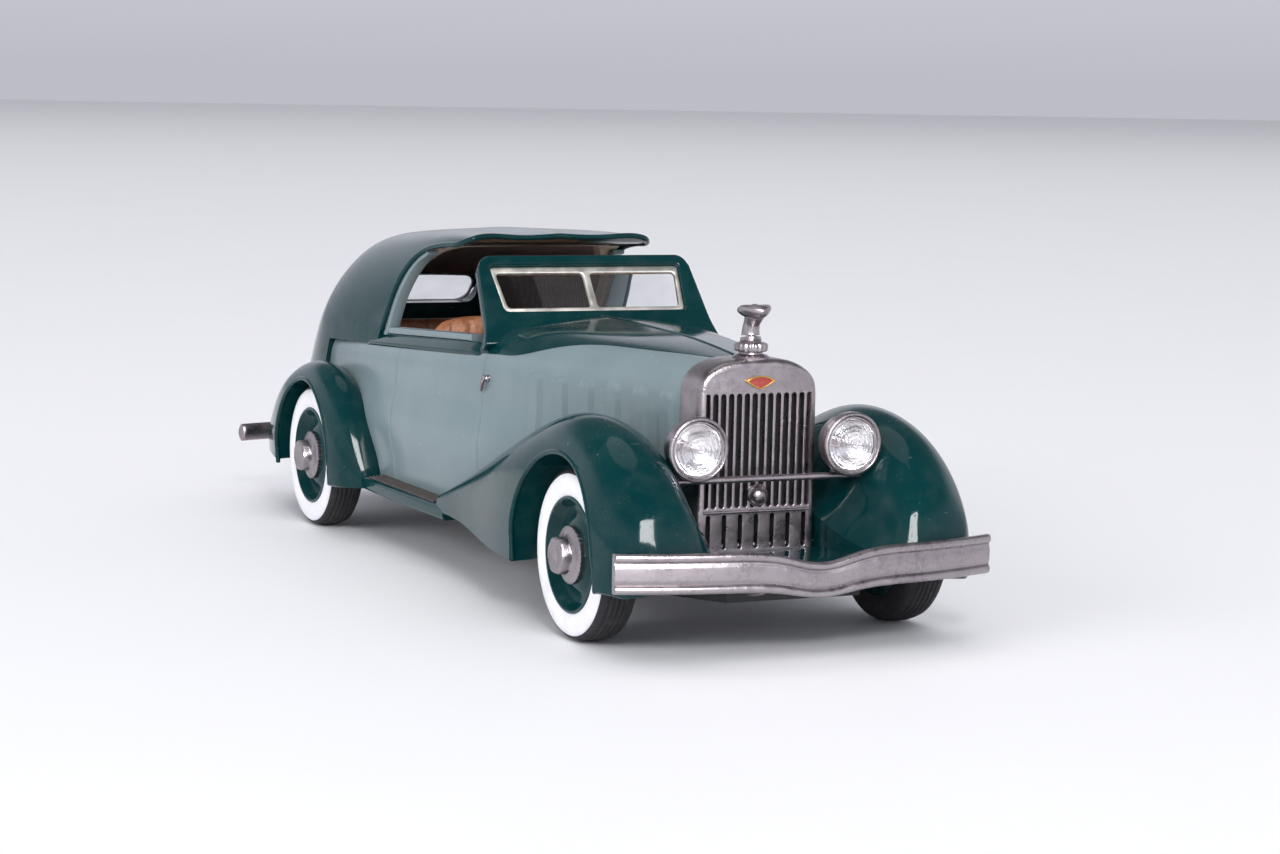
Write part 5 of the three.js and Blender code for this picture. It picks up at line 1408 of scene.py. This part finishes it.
def make_wheel(corner, station, side):
    """Tyre, white band, pressed disc and hub of one wheel, on its axle's body."""
    body = "front_axle" if station == 0 else "rear_axle"
    centre = (0, station, AXLE_Z)

    def from_inner(points):
        return [(r, TYRE_INNER_X + x) for r, x in points]

    def from_outer(points):
        return [(r, TYRE_OUTER_X + x) for r, x in points]

    tyre = [*from_inner(TYRE_INSIDE), *tread(), *from_outer(TYRE_OUTSIDE), *from_inner(TYRE_INSIDE[:1])]
    disc = [*from_inner(DISC_INSIDE), *from_outer(DISC_OUTSIDE), *from_inner(DISC_INSIDE[:1])]
    parts = (
        ("tyre_body", tyre, TYRE, "black_rubber", "tyre", 360, bitten),
        ("white_band", from_outer(BAND), WHITE, "white_rubber", "whitewall", 128, None),
        ("wheel_pressing", disc, DARK, "dark_paint", "wheel_disc", 128, None),
        ("hub_nut", from_outer(HUB), NICKEL, "worn_nickel", "hub_cap", 180, serrated),
    )
    for name, outline, material, slot, node, sides, shape in parts:
        outline = [(r, side * x) for r, x in outline]
        made = turned(f"{name}_{corner}", outline, centre, sides=sides, shape=shape)
        piece(made, material, (f"{node}_{corner}",), body, sharp=40)


PIPE = {"x": -7.2, "z": 4.0, "front": 6.0, "rear": 104.5}
SILENCER_MIDDLE = 45.0


def make_exhaust():
    """Straight pipe through a silencer whose two ends mirror each other."""
    line = [(PIPE["x"], s, PIPE["z"]) for s in np.linspace(PIPE["front"], PIPE["rear"], 40)]
    pipe = tube("pipe", line, 0.5, sides=20)
    profile = [(0, 35.6), (0.5, 35.6), (0.62, 36), (0.86, 36.3), (0.95, 36.8)]
    profile += [(0.95, 38.2), (0.9, 38.3), (0.95, 38.4)]
    profile += [(r, 2 * SILENCER_MIDDLE - d) for r, d in reversed(profile)]
    silencer = turned("silencer", profile, (PIPE["x"], 0, PIPE["z"]), axis="y", sides=48)
    piece(join("exhaust", [pipe, silencer]), STEEL, ("exhaust_pipe",))


def make_base_screw(node):
    """Pan-headed screw with a crossed recess."""
    low, high = box_mm(node)
    station = (low[1] + high[1]) / 2
    head = [(0, 4.25), (1.2, 4.2), (1.6, 4.45), (1.7, 4.75), (1.7, 4.95)]
    head += [(0.8, 4.98), (0.8, 7.5), (0, 7.6)]
    screw = turned(f"{node}_turned", head, (0, station, 0), axis="z", sides=48)
    slots = (rounded(a, b, 0.05, 3, (0, station)) for a, b in ((1.0, 0.2), (0.2, 1.0)))
    carve(screw, [prism("cut", slot, "z", 3.9, 4.75) for slot in slots])
    piece(screw, STEEL, (node,))


def make_running_gear():
    for name, station in (("front_axle", 0.0), ("rear_axle", WHEELBASE)):
        for corner, side in (("left", 1), ("right", -1)):
            make_wheel(f"{name.split('_')[0]}_{corner}", station, side)
        rod = [(0, -19.0), (0.6, -19.0), (0.75, -18.8), (0.75, 18.8), (0.6, 19.0), (0, 19.0)]
        piece(turned(f"{name}_rod", rod, (0, station, AXLE_Z), sides=32), STEEL, (name,), name)
    make_exhaust()
    make_base_screw("base_screw_front")
    make_base_screw("base_screw_rear")
    for node in ("chassis_plate", "radiator_core"):
        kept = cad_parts[node]
        kept.data.materials.clear()
        kept.data.materials.append(BLACK)


# ---------------------------------------------------------------- small fittings
def make_fittings():
    x = side_x(body_half, 35.6, 23.2)
    lever = smooth_line(((x + 0.45, 35.3, 23.6), (x + 0.62, 35.6, 22.9), (x + 0.5, 36.3, 21.9)), 12)
    handle = tube("lever", lever, np.interp(np.linspace(0, 1, 12), (0, 0.3, 1), (0.2, 0.3, 0.22)), sides=14)
    boss = [(0, x - 0.3), (0.42, x - 0.3), (0.42, x + 0.15), (0.3, x + 0.25), (0.22, x + 0.5), (0, x + 0.6)]
    base = turned("boss", boss, (0, 35.4, 23.3), sides=28)
    pair(join("handle_lever", [handle, base]), "handle_lever", NICKEL, "door_handle")
    low, high = box_mm("tail_lamp_left")
    middle = (low + high) / 2
    lamp = [(0, 3.9), (0.4, 3.85), (0.85, 3.6), (1.08, 3.2), (1.12, 2.9), (0, 2.85)]
    shell = [(0, 3.0), (1.2, 3.0), (1.26, 2.8), (1.22, 2.5), (1.2, 1.6), (1.0, 0.8), (0.6, 0.2), (0, 0)]
    at = (float(middle[0]), 100.6, 12.9)
    pair(turned("tail_lens", lamp, at, axis="y", sides=48), "tail_lens", RED, "tail_lamp")
    pair(turned("tail_shell", shell, at, axis="y", sides=48), "tail_shell", NICKEL)


# ---------------------------------------------------------------- stage and camera
# The studio's brightness by the sine of the height above the horizon. It falls off sooner behind the car.
SKY = ((0.0, 0.56), (0.10, 0.78), (0.30, 1.06), (0.46, 0.92), (0.60, 0.28), (1.0, 0.12))
SKY_TINT = (0.90, 0.91, 1.0)
SKY_BEHIND = 0.35


def make_floor():
    points = [(-4000, -4000, 0), (4000, -4000, 0), (4000, 4000, 0), (-4000, 4000, 0)]
    floor = mesh("floor", points, [(0, 1, 2, 3)])
    ground = Paintbox("pale_floor")
    ground.wire(ground.mix(ground.noise(40.0), rgb(250, 250, 252), rgb(246, 246, 249)), "Base Color")
    ground.wire(ground.remap(ground.noise(20.0), 0.3, 0.7, 0.6, 0.7), "Roughness")
    floor.data.materials.append(ground.material)


def make_sky():
    world = bpy.data.worlds.new("studio")
    bpy.context.scene.world = world
    world.use_nodes = True
    tree = world.node_tree

    def maths(operation, *values):
        return add_node(tree, "ShaderNodeMath", dict(enumerate(values)), operation=operation).outputs[0]

    direction = add_node(tree, "ShaderNodeTexCoord").outputs["Generated"]
    towards = add_node(tree, "ShaderNodeSeparateXYZ", {0: direction}).outputs
    behind = maths("MAXIMUM", maths("MULTIPLY_ADD", towards["Y"], SKY_BEHIND, 1.0), 1.0)
    sky = add_node(tree, "ShaderNodeValToRGB", {"Fac": maths("MULTIPLY", towards["Z"], behind)})
    tree.links.new(sky.outputs["Color"], tree.nodes["Background"].inputs["Color"])
    stops = sky.color_ramp.elements
    for stop, (position, bright) in zip([stops[0], stops[1], *(stops.new(0.5) for _ in SKY[2:])], SKY):
        stop.position = position
        stop.color = (*(tint * bright for tint in SKY_TINT), 1)


def add_light(name, size, energy, place, target, soft=True, gloss=True):
    """Rectangular light: soft ones light surfaces, gloss ones are mirrored in paint and nickel."""
    light = bpy.data.lights.new(name, "AREA")
    light.shape = "RECTANGLE"
    light.size, light.size_y = size
    light.energy = energy
    lamp = link(name, light)
    lamp.visible_diffuse = soft
    lamp.visible_glossy = gloss
    lamp.location = place
    aim = Vector(target) - Vector(place)
    lamp.rotation_euler = aim.to_track_quat("-Z", "Y").to_euler()


def make_lights():
    add_light("overhead_sheet", (4.0, 4.0), 36.0, (0.0, 0.0, 2.2), (0, 0, 0), gloss=False)
    add_light("side_sheet", (0.7, 0.5), 3.6, (-0.95, -0.25, 0.45), (0, 0, 0.015), gloss=False)
    add_light("key_sheet", (0.12, 0.10), 1.25, (-0.187, -0.605, 0.374), (0, -0.03, 0.015), gloss=False)
    add_light("key_window", (0.28, 0.27), 7.0, (-0.17, -0.55, 0.34), (0, -0.03, 0.015), soft=False)


# Camera: how it looks at the car, and the point that it looks at.
CAMERA = {"azimuth": 25.214, "elevation": 6.812, "roll": 1.274, "distance": 0.326389, "lens": 83.249}
CAMERA_TARGET = Vector((-0.00286, -0.0266, 0.019206))


def make_camera():
    turn, tip, roll = (math.radians(CAMERA[key]) for key in ("azimuth", "elevation", "roll"))
    ahead = Vector((math.sin(turn) * math.cos(tip), math.cos(turn) * math.cos(tip), -math.sin(tip)))
    level = Vector((math.cos(turn), -math.sin(turn), 0))
    above = level.cross(ahead)
    right = level * math.cos(roll) + above * math.sin(roll)
    up = above * math.cos(roll) - level * math.sin(roll)
    place = CAMERA_TARGET - ahead * CAMERA["distance"]
    lens = bpy.data.cameras.new("camera")
    lens.sensor_width = 36.0
    lens.lens = CAMERA["lens"]
    lens.clip_start = 0.01
    camera = link("camera", lens)
    camera.matrix_world = Matrix([(right[k], up[k], -ahead[k], place[k]) for k in range(3)] + [(0, 0, 0, 1)])
    bpy.context.scene.camera = camera


bpy.context.scene.view_settings.view_transform = "Standard"
make_camera()
make_floor()
make_sky()
make_lights()
make_body()
make_cowl_paint()
make_roof()
make_hoop_trim()
make_belt()
make_window_surround()
make_fenders()
make_apron()
make_radiator()
make_cap()
make_headlamps()
make_front_bumper()
make_rear_bumper()
make_windscreen()
make_cabin()
make_seats()
make_dashboard()
make_steering()
make_running_gear()
make_fittings()
